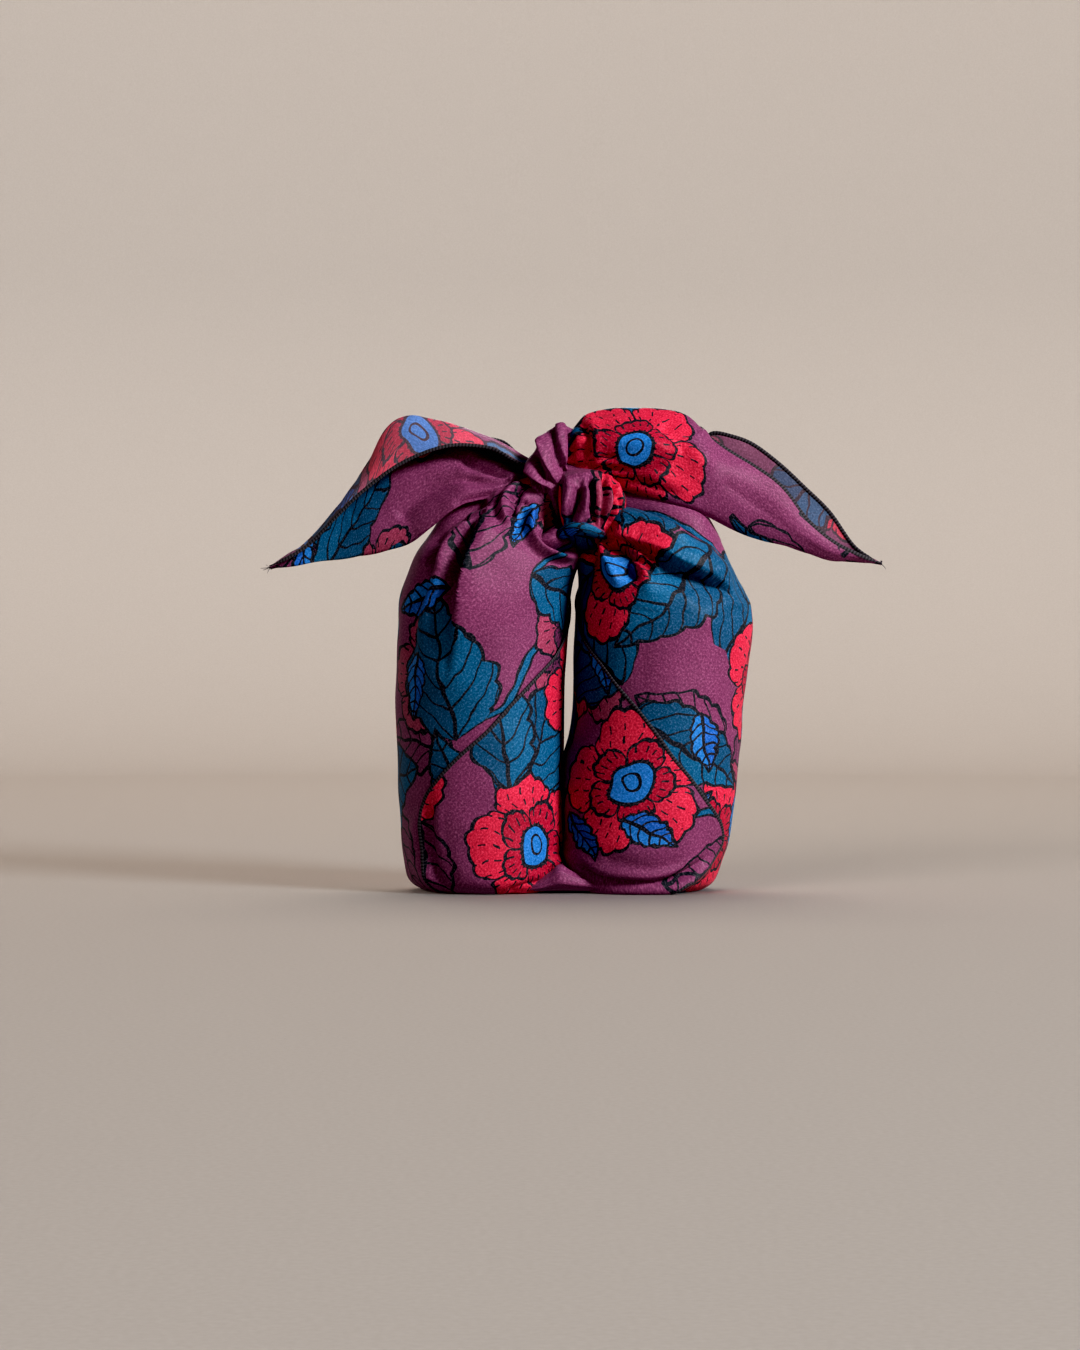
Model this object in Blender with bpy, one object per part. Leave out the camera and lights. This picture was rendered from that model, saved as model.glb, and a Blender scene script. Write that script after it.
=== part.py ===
"""Furoshiki wrap: one square cloth rolled round two cylinders, folded up and tied in a square knot."""
import math

import bmesh
import bpy
import numpy as np

MM = 0.001

# Driving sizes, in millimetres
CLOTH_SIDE = 600.0          # the flat square
EAR_THICKNESS = 1.4         # the ears as a solid sheet
LAYER_STEP = 1.2            # how far the rolled layer stands proud along its hem
RING_POINTS = 40            # points round a bundle
BUNDLE_RINGS = 34           # rings from the base to the knot
SHIFT_X = -0.743            # moves the finished wrap so that its box is centred on the origin
SHIFT_Y = -0.302
SHIFT_Z = 0.0

# Bundles: rings from the base up to the knot.
# outer x, outer z, inner x, inner z, half depth, hem angle (0 = outer side, 90 = front, 180 = inner)
LEFT_BUNDLE = [
    (-47.0, 0.0, -26.0, 0.0, 10.5, 46.0),
    (-59.8, 0.0, -10.2, 0.0, 25.6, 46.0),
    (-63.8, 1.2, -7.2, 1.2, 29.4, 46.0),
    (-66.8, 3.4, -5.4, 3.4, 31.8, 45.5),
    (-68.7, 7.0, -4.6, 7.0, 33.0, 45.0),
    (-69.9, 16.0, -4.3, 16.0, 33.6, 44.5),
    (-71.2, 28.0, -4.3, 28.0, 33.9, 44.5),
    (-72.0, 38.0, -4.4, 38.0, 34.0, 49.0),
    (-72.2, 47.0, -4.7, 47.0, 34.0, 62.0),
    (-72.3, 56.0, -4.9, 56.0, 34.0, 77.0),
    (-72.5, 66.0, -5.0, 66.0, 34.0, 96.0),
    (-72.6, 77.0, -5.0, 77.0, 34.0, 113.0),
    (-72.5, 87.0, -4.7, 87.0, 34.0, 131.0),
    (-72.3, 97.0, -4.2, 96.5, 33.9, 150.0),
    (-71.9, 108.0, -3.4, 106.0, 33.8, 170.0),
    (-71.0, 118.0, -2.4, 114.5, 33.4, 186.0),
    (-68.5, 127.0, -1.0, 121.5, 32.4, 200.0),
    (-65.2, 135.5, 0.4, 127.5, 30.6, 213.0),
    (-60.5, 143.5, 1.6, 132.0, 28.0, 226.0),
    (-54.4, 152.0, 2.6, 136.0, 24.8, 238.0),
    (-45.8, 159.4, 2.6, 139.5, 21.0, 248.0),
    (-35.5, 165.0, 0.0, 142.5, 17.4, 256.0),
    (-26.0, 168.6, -3.0, 145.0, 14.4, 262.0),
    (-17.0, 171.0, -4.0, 148.0, 12.0, 266.0),
    (-8.0, 172.5, 0.0, 151.0, 10.0, 270.0),
    (0.0, 174.0, 4.0, 155.0, 7.5, 270.0),
]
RIGHT_BUNDLE = [
    (38.0, 0.0, 19.0, 0.0, 9.5, 82.0),
    (50.2, 0.0, 6.8, 0.0, 22.6, 80.0),
    (54.0, 1.2, 2.6, 1.2, 27.0, 72.0),
    (57.0, 3.6, -1.6, 3.6, 29.6, 60.0),
    (59.0, 7.5, -4.8, 7.5, 31.2, 46.0),
    (60.8, 13.5, -5.8, 13.5, 32.0, 32.0),
    (63.0, 20.0, -6.0, 20.0, 32.6, 26.5),
    (64.6, 27.5, -6.0, 27.5, 33.0, 33.0),
    (65.8, 37.0, -5.9, 37.0, 33.5, 50.0),
    (66.7, 46.5, -5.0, 46.5, 33.8, 64.0),
    (67.5, 55.0, -3.7, 55.0, 34.0, 77.5),
    (68.5, 64.0, -1.5, 64.0, 34.3, 90.0),
    (69.0, 74.5, 0.0, 74.5, 34.5, 105.0),
    (70.0, 85.0, 0.4, 85.0, 34.8, 122.0),
    (70.8, 94.0, 0.6, 93.0, 35.0, 135.0),
    (71.9, 102.5, 0.9, 101.0, 35.2, 150.0),
    (72.5, 110.0, 1.3, 108.0, 35.2, 163.0),
    (71.8, 117.0, 1.7, 114.0, 34.8, 175.0),
    (69.2, 122.5, 1.9, 119.5, 34.0, 186.0),
    (65.6, 128.0, 2.0, 124.5, 32.4, 196.0),
    (62.6, 134.0, 1.8, 129.0, 30.4, 206.0),
    (60.2, 140.5, 1.4, 133.0, 28.0, 218.0),
    (57.4, 146.5, 1.4, 136.5, 25.0, 230.0),
    (52.4, 153.6, 3.0, 139.0, 21.8, 240.0),
    (44.2, 158.8, 6.0, 141.5, 19.0, 250.0),
    (34.5, 162.4, 9.0, 143.5, 16.4, 257.0),
    (25.0, 164.4, 10.5, 146.0, 13.8, 263.0),
    (16.0, 165.2, 8.0, 149.0, 11.2, 268.0),
    (7.0, 166.5, 3.5, 152.0, 9.0, 270.0),
    (-1.0, 169.0, -2.0, 155.0, 7.0, 270.0),
]

# Main folds pressed into the bundles: side, points (x, z), half width, height (minus is a trough)
FOLDS = [
    ("front", [(-34, 156), (-47.6, 137.4), (-56.6, 124.2), (-62, 114), (-63, 98)], 4.6, -3.6),
    ("front", [(-30, 159), (-45, 149), (-56, 136), (-63, 126)], 4.2, 2.0),
    ("front", [(-32, 150), (-41, 136), (-47, 120), (-49, 100)], 6.5, 1.6),
    ("front", [(-24, 146), (-14, 143), (-6, 138)], 4.0, -2.2),
    ("front", [(16, 143.6), (27.5, 143), (36.9, 139.4), (44.3, 134), (53.3, 130), (61, 126)], 4.0, -4.0),
    ("front", [(18, 149.5), (30, 149), (41, 145.5), (52, 139), (60, 134)], 5.2, 3.0),
    ("front", [(18.5, 140.6), (21.5, 134), (25.4, 126)], 4.6, -4.4),
    ("front", [(8.6, 140), (12, 131), (17, 121)], 4.2, 2.2),
    ("front", [(50, 128), (54, 118), (56, 104)], 6.0, 1.8),
    ("back", [(-30, 154), (-42, 138), (-50, 120), (-52, 102)], 5.2, -3.4),
    ("back", [(-20, 148), (-24, 134), (-25, 118)], 5.0, -2.6),
    ("back", [(-26, 152), (-34, 136), (-38, 116)], 5.4, 2.2),
    ("back", [(24, 152), (34, 138), (42, 122), (45, 104)], 5.2, -3.2),
    ("back", [(16, 147), (18, 134), (19, 118)], 5.0, -2.8),
    ("back", [(20, 150), (27, 136), (30, 118)], 5.4, 2.2),
]

# Knot: the two bights as bent bands. x, y, z, half width across, half thickness
BACK_BIGHT = [
    (9.0, 9.0, 175.0, 7.0, 6.0),
    (4.5, 4.0, 181.5, 7.2, 7.5),
    (-2.0, -3.0, 181.4, 7.4, 8.5),
    (-8.0, -7.5, 176.0, 8.4, 9.0),
    (-11.0, -9.0, 168.5, 9.2, 9.0),
    (-9.5, -8.5, 161.0, 8.6, 8.5),
    (-4.0, -5.0, 154.5, 7.6, 8.0),
    (2.0, 2.0, 152.0, 6.5, 6.5),
]
FRONT_BIGHT = [
    (6.0, 6.0, 172.0, 8.0, 5.0),
    (6.0, -4.0, 174.5, 9.5, 5.5),
    (6.5, -12.5, 170.0, 12.0, 6.0),
    (7.5, -15.0, 161.5, 13.6, 6.4),
    (7.5, -13.0, 152.5, 12.6, 6.4),
    (7.0, -6.5, 146.5, 10.0, 6.0),
    (7.0, 3.0, 146.0, 8.0, 5.5),
]
REAR_BIGHT = [
    (-6.0, -2.0, 174.0, 7.5, 5.0),
    (-4.0, 7.0, 176.0, 9.0, 5.5),
    (-2.0, 14.0, 170.0, 11.5, 6.0),
    (-1.0, 15.5, 161.5, 12.5, 6.2),
    (0.0, 12.0, 153.0, 11.5, 6.0),
    (1.0, 4.0, 149.5, 8.0, 5.0),
]

# Ears: stations from the knot out to the tip. Each pair is z, y along the cloth.
# x, front hem, flap, ridge, behind the ridge, face, lower face, lower edge
LEFT_EAR = [
    (-8.0, (170, -4), (172, -3.5), (174, 0), (172, 4), (168, 3), (165, 0), (163, -3)),
    (-17.0, (172, -7), (173.5, -5.5), (176, -0.5), (174.5, 3.6), (171, 1), (168, -3), (166, -6)),
    (-25.0, (175.5, -8), (177.5, -6.2), (180.7, 0), (178, 4), (173.5, -1), (170, -6), (167, -9)),
    (-34.0, (180, -8.6), (182.3, -6.6), (185.2, 0), (182, 4.2), (175, -2), (169, -7), (164.2, -10.5)),
    (-47.0, (181.2, -9), (185.5, -6.6), (190, 1), (186, 4.6), (176, -2.6), (167, -7.4), (159, -11)),
    (-58.0, (179, -8.8), (186, -6.2), (193, 1), (188, 4.8), (174, -2.6), (161, -6.4), (149, -9)),
    (-68.0, (175, -8.2), (184.5, -6), (193.9, 1), (188, 4.8), (170, -2.2), (156, -5), (142.3, -5.4)),
    (-77.0, (169.5, -7.4), (179, -5.5), (188.6, 0.5), (183, 4.2), (165, -1.6), (151, -3.8), (139.4, -3)),
    (-85.5, (163, -6.4), (168.3, -4.8), (173.6, 0), (170, 3.2), (158, -1), (147, -2.8), (137.5, -1.6)),
    (-96.0, (153.2, -5.2), (155.7, -4), (158.4, -0.4), (155.8, 1.8), (149, 0.6), (142, 0), (136, 0)),
    (-108.0, (141.2, -4.2), (142.7, -3.4), (144, -1), (142.8, 1), (140, 1), (137, 0.8), (134.2, 0.6)),
    (-117.0, (134.2, -3.8), (135.6, -3.2), (136.6, -1.2), (135.7, 0.7), (134.4, 1), (133.2, 1), (132.0, 1)),
    (-125.0, (130.6, -3.2), (131.6, -2.8), (132.5, -1.3), (132.0, 0.4), (131.3, 0.9), (130.6, 1), (129.9, 1)),
]
# x, front hem, upper front, bulge, crisp fold, bottom fold, back layer, back hem
RIGHT_EAR = [
    (-5.0, (176, 4), (179, 2), (178, -3), (173, -4), (169, 0), (170, 5), (173, 7)),
    (2.5, (184, 6), (189, 1), (184, -7), (173.5, -8), (168, -2), (172, 5), (179, 4.5)),
    (6.5, (188, 7.4), (194.2, 1), (186, -10.5), (172.5, -10), (167, -3.5), (173, 6), (182, 5)),
    (13.0, (191, 8.4), (196.8, 1), (185, -14), (171.8, -13), (165.6, -6), (173, 6), (185, 5)),
    (24.0, (192, 8.8), (197.6, 1), (184.5, -17), (171, -15.5), (162.4, -8.5), (172, 5.4), (186, 4.6)),
    (36.0, (191, 8.4), (196.5, 0.5), (183.5, -17.5), (170, -16), (159, -10), (170, 4.6), (185.5, 4.2)),
    (47.0, (189, 6.4), (193.4, -1), (180, -15.5), (166.5, -14), (155.8, -10), (167, 3.6), (184.5, 3.4)),
    (52.0, (190.2, 0.6), (187, -5), (177.4, -13.6), (164.4, -13), (153.8, -9), (165.4, 3), (184.8, 3.8)),
    (57.0, (184.8, -3), (181, -7.4), (174, -12), (162, -12), (151.6, -7.5), (164, 2.6), (188, 2.6)),
    (65.0, (179.5, -4.2), (175, -8), (168, -10.5), (157.5, -10), (147.5, -5), (162, 2.4), (186.6, 1.8)),
    (74.0, (173.8, -4.6), (168.5, -7.2), (162, -9), (153, -8.4), (143.8, -3.6), (160, 2.2), (183, 1.6)),
    (85.0, (165.3, -4.6), (160, -6.4), (155, -7.4), (148.5, -7), (141.3, -3), (155, 2), (174.7, 1.2)),
    (95.0, (152.7, -4), (149.5, -5.2), (146.5, -5.8), (142.8, -5.4), (138, -2), (148, 1.8), (165.3, 1.1)),
    (105.4, (143.5, -3.4), (141.6, -4.2), (139.8, -4.5), (137.6, -4.1), (135, -1.3), (142, 1.6), (155, 1)),
    (115.6, (136.8, -3.2), (136, -3.4), (135.2, -3.4), (134.4, -2.8), (133.7, -0.9), (136.5, 1.2), (141.2, 1)),
    (126.6, (133.6, -3), (133.1, -3), (132.6, -2.8), (132.1, -2.1), (131.9, -0.8), (132.6, 0.6), (134.2, 1)),
]

# Saddle under the two bases: x, half depth, top
SADDLE = [
    (-30.0, 20.0, 4.0),
    (-18.0, 25.0, 5.0),
    (-8.0, 27.5, 9.0),
    (-3.0, 28.0, 10.5),
    (4.0, 27.5, 9.0),
    (16.0, 26.5, 5.0),
    (30.0, 20.0, 4.0),
]


def clearScene():
    for thing in list(bpy.data.objects):
        bpy.data.objects.remove(thing, do_unlink=True)


def between(rows, t):
    """Catmull-Rom through evenly spaced rows, at each t from 0 to len(rows) - 1."""
    rows = np.asarray(rows, dtype=float)
    t = np.asarray(t, dtype=float)
    last = len(rows) - 1
    first = np.clip(np.floor(t).astype(int), 0, last - 1)
    u = (t - first).reshape((-1,) + (1,) * (rows.ndim - 1))
    a = rows[np.clip(first - 1, 0, last)]
    b = rows[first]
    c = rows[first + 1]
    d = rows[np.clip(first + 2, 0, last)]
    return 0.5 * (2 * b + (c - a) * u + (2 * a - 5 * b + 4 * c - d) * u ** 2
                  + (3 * b - a - 3 * c + d) * u ** 3)


def gridNormals(points, closed):
    """Unit normals of a grid of points, closed round its second direction or not."""
    along = np.gradient(points, axis=0)
    if closed:
        across = (np.roll(points, -1, axis=1) - np.roll(points, 1, axis=1)) / 2
    else:
        across = np.gradient(points, axis=1)
    normals = np.cross(along, across)
    size = np.linalg.norm(normals, axis=2, keepdims=True)
    return normals / np.maximum(size, 1e-9)


def distanceToLine(x, z, line):
    """Distance of each (x, z) from a polyline, and how far along it (0 to 1)."""
    best = np.full(x.shape, 1e9)
    along = np.zeros(x.shape)
    count = len(line) - 1
    for i in range(count):
        ax, az = line[i]
        bx, bz = line[i + 1]
        length = (bx - ax) ** 2 + (bz - az) ** 2
        s = np.clip(((x - ax) * (bx - ax) + (z - az) * (bz - az)) / length, 0, 1)
        d = np.hypot(x - ax - s * (bx - ax), z - az - s * (bz - az))
        nearer = d < best
        best = np.where(nearer, d, best)
        along = np.where(nearer, (i + s) / count, along)
    return best, along


def pressFolds(points, normals):
    """Push the folds into a bundle's surface along its normals."""
    x, z = points[..., 0], points[..., 2]
    push = np.zeros(x.shape)
    for side, line, width, height in FOLDS:
        facing = -normals[..., 1] if side == "front" else normals[..., 1]
        shown = np.clip(facing * 2.2, 0, 1)
        d, along = distanceToLine(x, z, line)
        fade = np.clip((1 - along) / 0.35, 0, 1) * np.clip(along / 0.05 + 0.5, 0, 1)
        push += height * np.exp(-(d / width) ** 2) * shown * fade
    return points + normals * push[..., None]


def ringAngles():
    """Angles round a ring from its hem, closer together by the step of the hem."""
    even = np.linspace(0, 1, RING_POINTS)
    return 360.0 * even - 1.6 * even


def bundlePoints(rows, side):
    """Rings of a bundle. Each starts at its hem, so the step runs along the grid."""
    t = np.linspace(0, len(rows) - 1, BUNDLE_RINGS)
    low = t < 4
    t = np.concatenate([[0, 1, 2, 3], t[~low]])
    table = between(rows, t)
    table[:, 1] = np.maximum(table[:, 1], 0)
    table[:, 3] = np.maximum(table[:, 3], 0)
    turn = ringAngles()
    points = np.zeros((len(table), len(turn), 3))
    for k, (ox, oz, ix, iz, depth, hem) in enumerate(table):
        angle = np.radians(hem + turn)
        proud = LAYER_STEP * np.clip(oz / 3.0, 0, 1) * np.clip((172 - oz) / 20, 0, 1)
        size = math.hypot(ox - ix, oz - iz) / 2
        grow = 1 + proud * (1 - turn / 360) / size
        c, s = np.cos(angle) * grow, np.sin(angle) * grow
        points[k, :, 0] = (ox + ix) / 2 + (ox - ix) / 2 * c
        points[k, :, 2] = np.maximum((oz + iz) / 2 + (oz - iz) / 2 * c, 0)
        points[k, :, 1] = -(depth) * s
    return points


def bandPoints(rows, count, rings):
    """A bent band: ovals square to a path."""
    t = np.linspace(0, len(rows) - 1, rings)
    table = between(rows, t)
    path = table[:, :3]
    ahead = np.gradient(path, axis=0)
    ahead /= np.linalg.norm(ahead, axis=1, keepdims=True)
    centre = np.array([2.0, 0.0, 165.0])
    points = np.zeros((rings, count, 3))
    turn = np.linspace(0, 2 * math.pi, count, endpoint=False)
    for k in range(rings):
        out = path[k] - centre
        out -= ahead[k] * out.dot(ahead[k])
        out /= max(np.linalg.norm(out), 1e-9)
        wide = np.cross(ahead[k], out)
        lobes = 1 + 0.07 * np.cos(5 * turn + 0.8)
        points[k] = (path[k] + np.outer(np.cos(turn) * table[k, 3] * lobes, wide)
                     + np.outer(np.sin(turn) * table[k, 4] * lobes, out))
    return points


def closedLoft(name, points):
    """A closed solid from rings of points, with flat fans at its two ends."""
    rings, count = points.shape[:2]
    verts = [tuple(p * MM) for p in points.reshape(-1, 3)]
    faces = []
    for k in range(rings - 1):
        for i in range(count):
            j = (i + 1) % count
            faces.append((k * count + i, k * count + j, (k + 1) * count + j, (k + 1) * count + i))
    for ring, flip in ((0, True), (rings - 1, False)):
        middle = len(verts)
        verts.append(tuple(points[ring].mean(axis=0) * MM))
        for i in range(count):
            j = (i + 1) % count
            face = (ring * count + i, ring * count + j, middle)
            faces.append(face[::-1] if flip else face)
    return meshObject(name, verts, faces)


def sheetSolid(name, points, thickness):
    """A closed sheet on a grid of points, a little thinner towards its last row."""
    normals = gridNormals(points, False)
    rows, cols = points.shape[:2]
    size = rows * cols
    half = thickness / 2 * np.interp(np.arange(rows), [0, rows * 0.7, rows - 1], [1, 1, 0.72])[:, None, None]
    front = (points + normals * half).reshape(-1, 3)
    back = (points - normals * half).reshape(-1, 3)
    verts = [tuple(p * MM) for p in np.concatenate([front, back])]
    faces = []
    for k in range(rows - 1):
        for i in range(cols - 1):
            a, b = k * cols + i, k * cols + i + 1
            c, d = b + cols, a + cols
            faces.append((a, d, c, b))
            faces.append((a + size, b + size, c + size, d + size))
    rim = [i for i in range(cols - 1)]
    rim += [k * cols + cols - 1 for k in range(rows - 1)]
    rim += [(rows - 1) * cols + i for i in range(cols - 1, 0, -1)]
    rim += [k * cols for k in range(rows - 1, 0, -1)]
    for n, a in enumerate(rim):
        b = rim[(n + 1) % len(rim)]
        faces.append((a, b, b + size, a + size))
    return meshObject(name, verts, faces)


def meshObject(name, verts, faces):
    mesh = bpy.data.meshes.new(name)
    mesh.from_pydata(verts, [], faces)
    mesh.validate()
    thing = bpy.data.objects.new(name, mesh)
    bpy.context.scene.collection.objects.link(thing)
    outward(thing)
    return thing


def outward(thing):
    work = bmesh.new()
    work.from_mesh(thing.data)
    bmesh.ops.triangulate(work, faces=work.faces[:])
    bmesh.ops.recalc_face_normals(work, faces=work.faces[:])
    if work.calc_volume(signed=True) < 0:
        bmesh.ops.reverse_faces(work, faces=work.faces[:])
    work.to_mesh(thing.data)
    work.free()


def bundle(name, rows, side):
    points = bundlePoints(rows, side)
    normals = gridNormals(points, True)
    middle = points.mean(axis=1, keepdims=True)
    outwards = np.sign(np.sum((points - middle) * normals, axis=2, keepdims=True))
    points = pressFolds(points, normals * outwards)
    points[..., 2] = np.maximum(points[..., 2], 0)
    return closedLoft(name, points)


def ear(name, rows, stations, across):
    table = np.array([[(row[0], y, z) for z, y in row[1:]] for row in rows], dtype=float)
    t = np.linspace(0, len(rows) - 1, stations)
    long = between(table, t)
    s = np.linspace(0, table.shape[1] - 1, across)
    full = np.stack([between(row, s) for row in long])
    return sheetSolid(name, full, EAR_THICKNESS)


def saddle():
    """The cloth that runs from one base to the other, just off the floor."""
    t = np.linspace(0, len(SADDLE) - 1, 13)
    table = between(SADDLE, t)
    turn = np.linspace(0, 2 * math.pi, 24, endpoint=False)
    points = np.zeros((len(table), len(turn), 3))
    for k, (x, depth, top) in enumerate(table):
        c, s = np.cos(turn), np.sin(turn)
        points[k, :, 0] = x
        points[k, :, 1] = depth * np.sign(c) * np.abs(c) ** 0.6
        points[k, :, 2] = 0.5 + top / 2 + top / 2 * np.sign(s) * np.abs(s) ** 0.6
    return closedLoft("saddle", points)


def clothMaterial():
    material = bpy.data.materials.new("printed_cloth")
    material.use_nodes = True
    shader = material.node_tree.nodes["Principled BSDF"]
    shader.inputs["Base Color"].default_value = (0.115, 0.022, 0.080, 1)
    shader.inputs["Roughness"].default_value = 0.75
    return material


def joined(name, pieces):
    """Unite the pieces into one solid."""
    main = pieces[0]
    for piece in pieces[1:]:
        cut = main.modifiers.new("join_" + piece.name, "BOOLEAN")
        cut.operation = "UNION"
        cut.solver = "EXACT"
        cut.use_self = False
        cut.object = piece
        piece.hide_render = True
        piece.display_type = "WIRE"
    bpy.context.view_layer.update()
    graph = bpy.context.evaluated_depsgraph_get()
    mesh = bpy.data.meshes.new_from_object(main.evaluated_get(graph))
    for piece in pieces:
        bpy.data.objects.remove(piece, do_unlink=True)
    thing = bpy.data.objects.new(name, mesh)
    bpy.context.scene.collection.objects.link(thing)
    return thing


def keepOuterSkin(work):
    """Delete any small shell left inside the knot, since the solid is filled."""
    left = set(work.verts)
    shells = []
    while left:
        stack = [left.pop()]
        shell = list(stack)
        while stack:
            for edge in stack.pop().link_edges:
                for vert in edge.verts:
                    if vert in left:
                        left.remove(vert)
                        stack.append(vert)
                        shell.append(vert)
        shells.append(shell)
    shells.sort(key=len)
    for shell in shells[:-1]:
        bmesh.ops.delete(work, geom=shell, context="VERTS")


def tidyMesh(thing):
    work = bmesh.new()
    work.from_mesh(thing.data)
    bmesh.ops.remove_doubles(work, verts=work.verts[:], dist=0.000004)
    bmesh.ops.dissolve_degenerate(work, dist=0.000004, edges=work.edges[:])
    keepOuterSkin(work)
    bmesh.ops.triangulate(work, faces=work.faces[:])
    for vert in work.verts:
        if vert.co.z < 0.00005:
            vert.co.z = 0.0
        vert.co.x += SHIFT_X * MM
        vert.co.y += SHIFT_Y * MM
        vert.co.z += SHIFT_Z * MM
    work.to_mesh(thing.data)
    work.free()


def build():
    clearScene()
    pieces = [
        bundle("left_bundle", LEFT_BUNDLE, -1),
        bundle("right_bundle", RIGHT_BUNDLE, 1),
        saddle(),
        closedLoft("back_bight", bandPoints(BACK_BIGHT, 18, 17)),
        closedLoft("front_bight", bandPoints(FRONT_BIGHT, 20, 15)),
        closedLoft("rear_bight", bandPoints(REAR_BIGHT, 18, 13)),
        ear("left_ear", LEFT_EAR, 26, 16),
        ear("right_ear", RIGHT_EAR, 29, 16),
    ]
    cloth = joined("furoshiki_cloth", pieces)
    tidyMesh(cloth)
    cloth.data.materials.clear()
    cloth.data.materials.append(clothMaterial())
    return cloth


build()
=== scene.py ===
import math
from functools import partial

import bpy
import numpy as np
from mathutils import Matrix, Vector


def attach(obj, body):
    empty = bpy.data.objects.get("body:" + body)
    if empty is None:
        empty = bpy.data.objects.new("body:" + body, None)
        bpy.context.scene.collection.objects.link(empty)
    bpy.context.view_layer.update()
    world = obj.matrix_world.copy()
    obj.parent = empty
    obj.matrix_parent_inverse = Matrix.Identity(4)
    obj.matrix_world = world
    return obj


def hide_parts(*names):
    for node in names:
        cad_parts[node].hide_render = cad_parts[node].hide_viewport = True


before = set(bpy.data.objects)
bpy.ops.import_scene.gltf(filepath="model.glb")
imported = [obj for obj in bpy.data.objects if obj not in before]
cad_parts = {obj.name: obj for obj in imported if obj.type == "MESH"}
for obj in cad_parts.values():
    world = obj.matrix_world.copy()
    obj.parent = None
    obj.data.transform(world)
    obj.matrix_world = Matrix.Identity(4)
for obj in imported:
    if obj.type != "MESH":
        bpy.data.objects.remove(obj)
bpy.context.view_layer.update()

mm = 0.001
fullTurn = 2 * math.pi
shift = np.array([-0.743, -0.302, 0])  # mm, the CAD part's own shift that centres its box

# the camera stands level in front of the wrap; mm
view = {"x": -14, "distance": 1307, "height": 88, "lens": 85, "sensor": 36}


def hexColour(text):
    # sRGB hex to linear
    parts = [int(text[i:i + 2], 16) / 255 for i in (0, 2, 4)]
    return tuple(p / 12.92 if p <= 0.04045 else ((p + 0.055) / 1.055) ** 2.4 for p in parts) + (1,)


def between(rows, t):
    # Catmull-Rom through evenly spaced rows
    rows = np.asarray(rows, dtype=float)
    t = np.asarray(t, dtype=float)
    last = len(rows) - 1
    first = np.clip(np.floor(t).astype(int), 0, last - 1)
    u = (t - first).reshape((-1,) + (1,) * (rows.ndim - 1))
    a, b = rows[np.clip(first - 1, 0, last)], rows[first]
    c, d = rows[first + 1], rows[np.clip(first + 2, 0, last)]
    return 0.5 * (2 * b + (c - a) * u + (2 * a - 5 * b + 4 * c - d) * u ** 2
                  + (3 * b - a - 3 * c + d) * u ** 3)


def resample(rows, count):
    return between(rows, np.linspace(0, len(rows) - 1, count))


def unit(vectors, keep=1e-9):
    return vectors / np.maximum(np.linalg.norm(vectors, axis=-1, keepdims=True), keep)


def pathLength(points):
    # how far along its line each point lies
    return np.concatenate([[0], np.cumsum(np.linalg.norm(np.diff(points, axis=0), axis=1))])


def easeIn(x):
    # a soft start and end between 0 and 1
    return x * x * (3 - 2 * x)


def outwardNormals(points, away):
    # grid normals turned to point away from the given inner points
    normals = gridNormals(points)
    toward = np.sign(np.sum((points - away) * normals, axis=2, keepdims=True))
    return normals * np.where(toward == 0, 1, toward)


def gridNormals(points):
    return unit(np.cross(np.gradient(points, axis=0), np.gradient(points, axis=1)))


def seenPlane(points):
    # where the camera sees each point, on the plane through the knot
    scale = view["distance"] / (view["distance"] + points[..., 1])
    return (view["x"] + (points[..., 0] - view["x"]) * scale,
            view["height"] + (points[..., 2] - view["height"]) * scale)


def lineDistance(x, z, line):
    # signed distance from a polyline, the share of its length, and the unit vector to its left
    nearest = np.full((5, *x.shape), 1e9)
    for i, ((ax, az), (bx, bz)) in enumerate(zip(line, line[1:])):
        dx, dz = bx - ax, bz - az
        length = math.hypot(dx, dz)
        s = np.clip(((x - ax) * dx + (z - az) * dz) / length ** 2, 0, 1)
        d = np.hypot(x - ax - s * dx, z - az - s * dz)
        side = np.sign(dx * (z - az) - dz * (x - ax))
        found = np.broadcast_arrays(d, side, (i + s) / (len(line) - 1), -dz / length, dx / length)
        nearest = np.where(d < nearest[0], found, nearest)
    d, side, along, leftX, leftZ = nearest
    return d * side, along, leftX, leftZ


pressing = {
    "lineSteps": 6,  # to each stretch of a fold's line
    "fadeIn": 0.1, "fadeOut": 0.3, "least": 0.3,  # shares of the line
    "stepHollow": 0.8, "stepSpread": 1.3,  # a step's hollow side beside its proud side
    "lean": 0.6, "leanReach": 2.2,  # how far the proud side leans over, and from how far in mm
    "dip": 0.18, "dipAt": 2.2,  # beside a ridge, in its heights and widths
    "shoulder": 0.26, "shoulderAt": 2.3, "shoulderWidth": 1.2,  # beside a valley
    "fadeOver": (2.4, 0.25),  # how fast folds fade round the edge, and how much is left of them there
}


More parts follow.
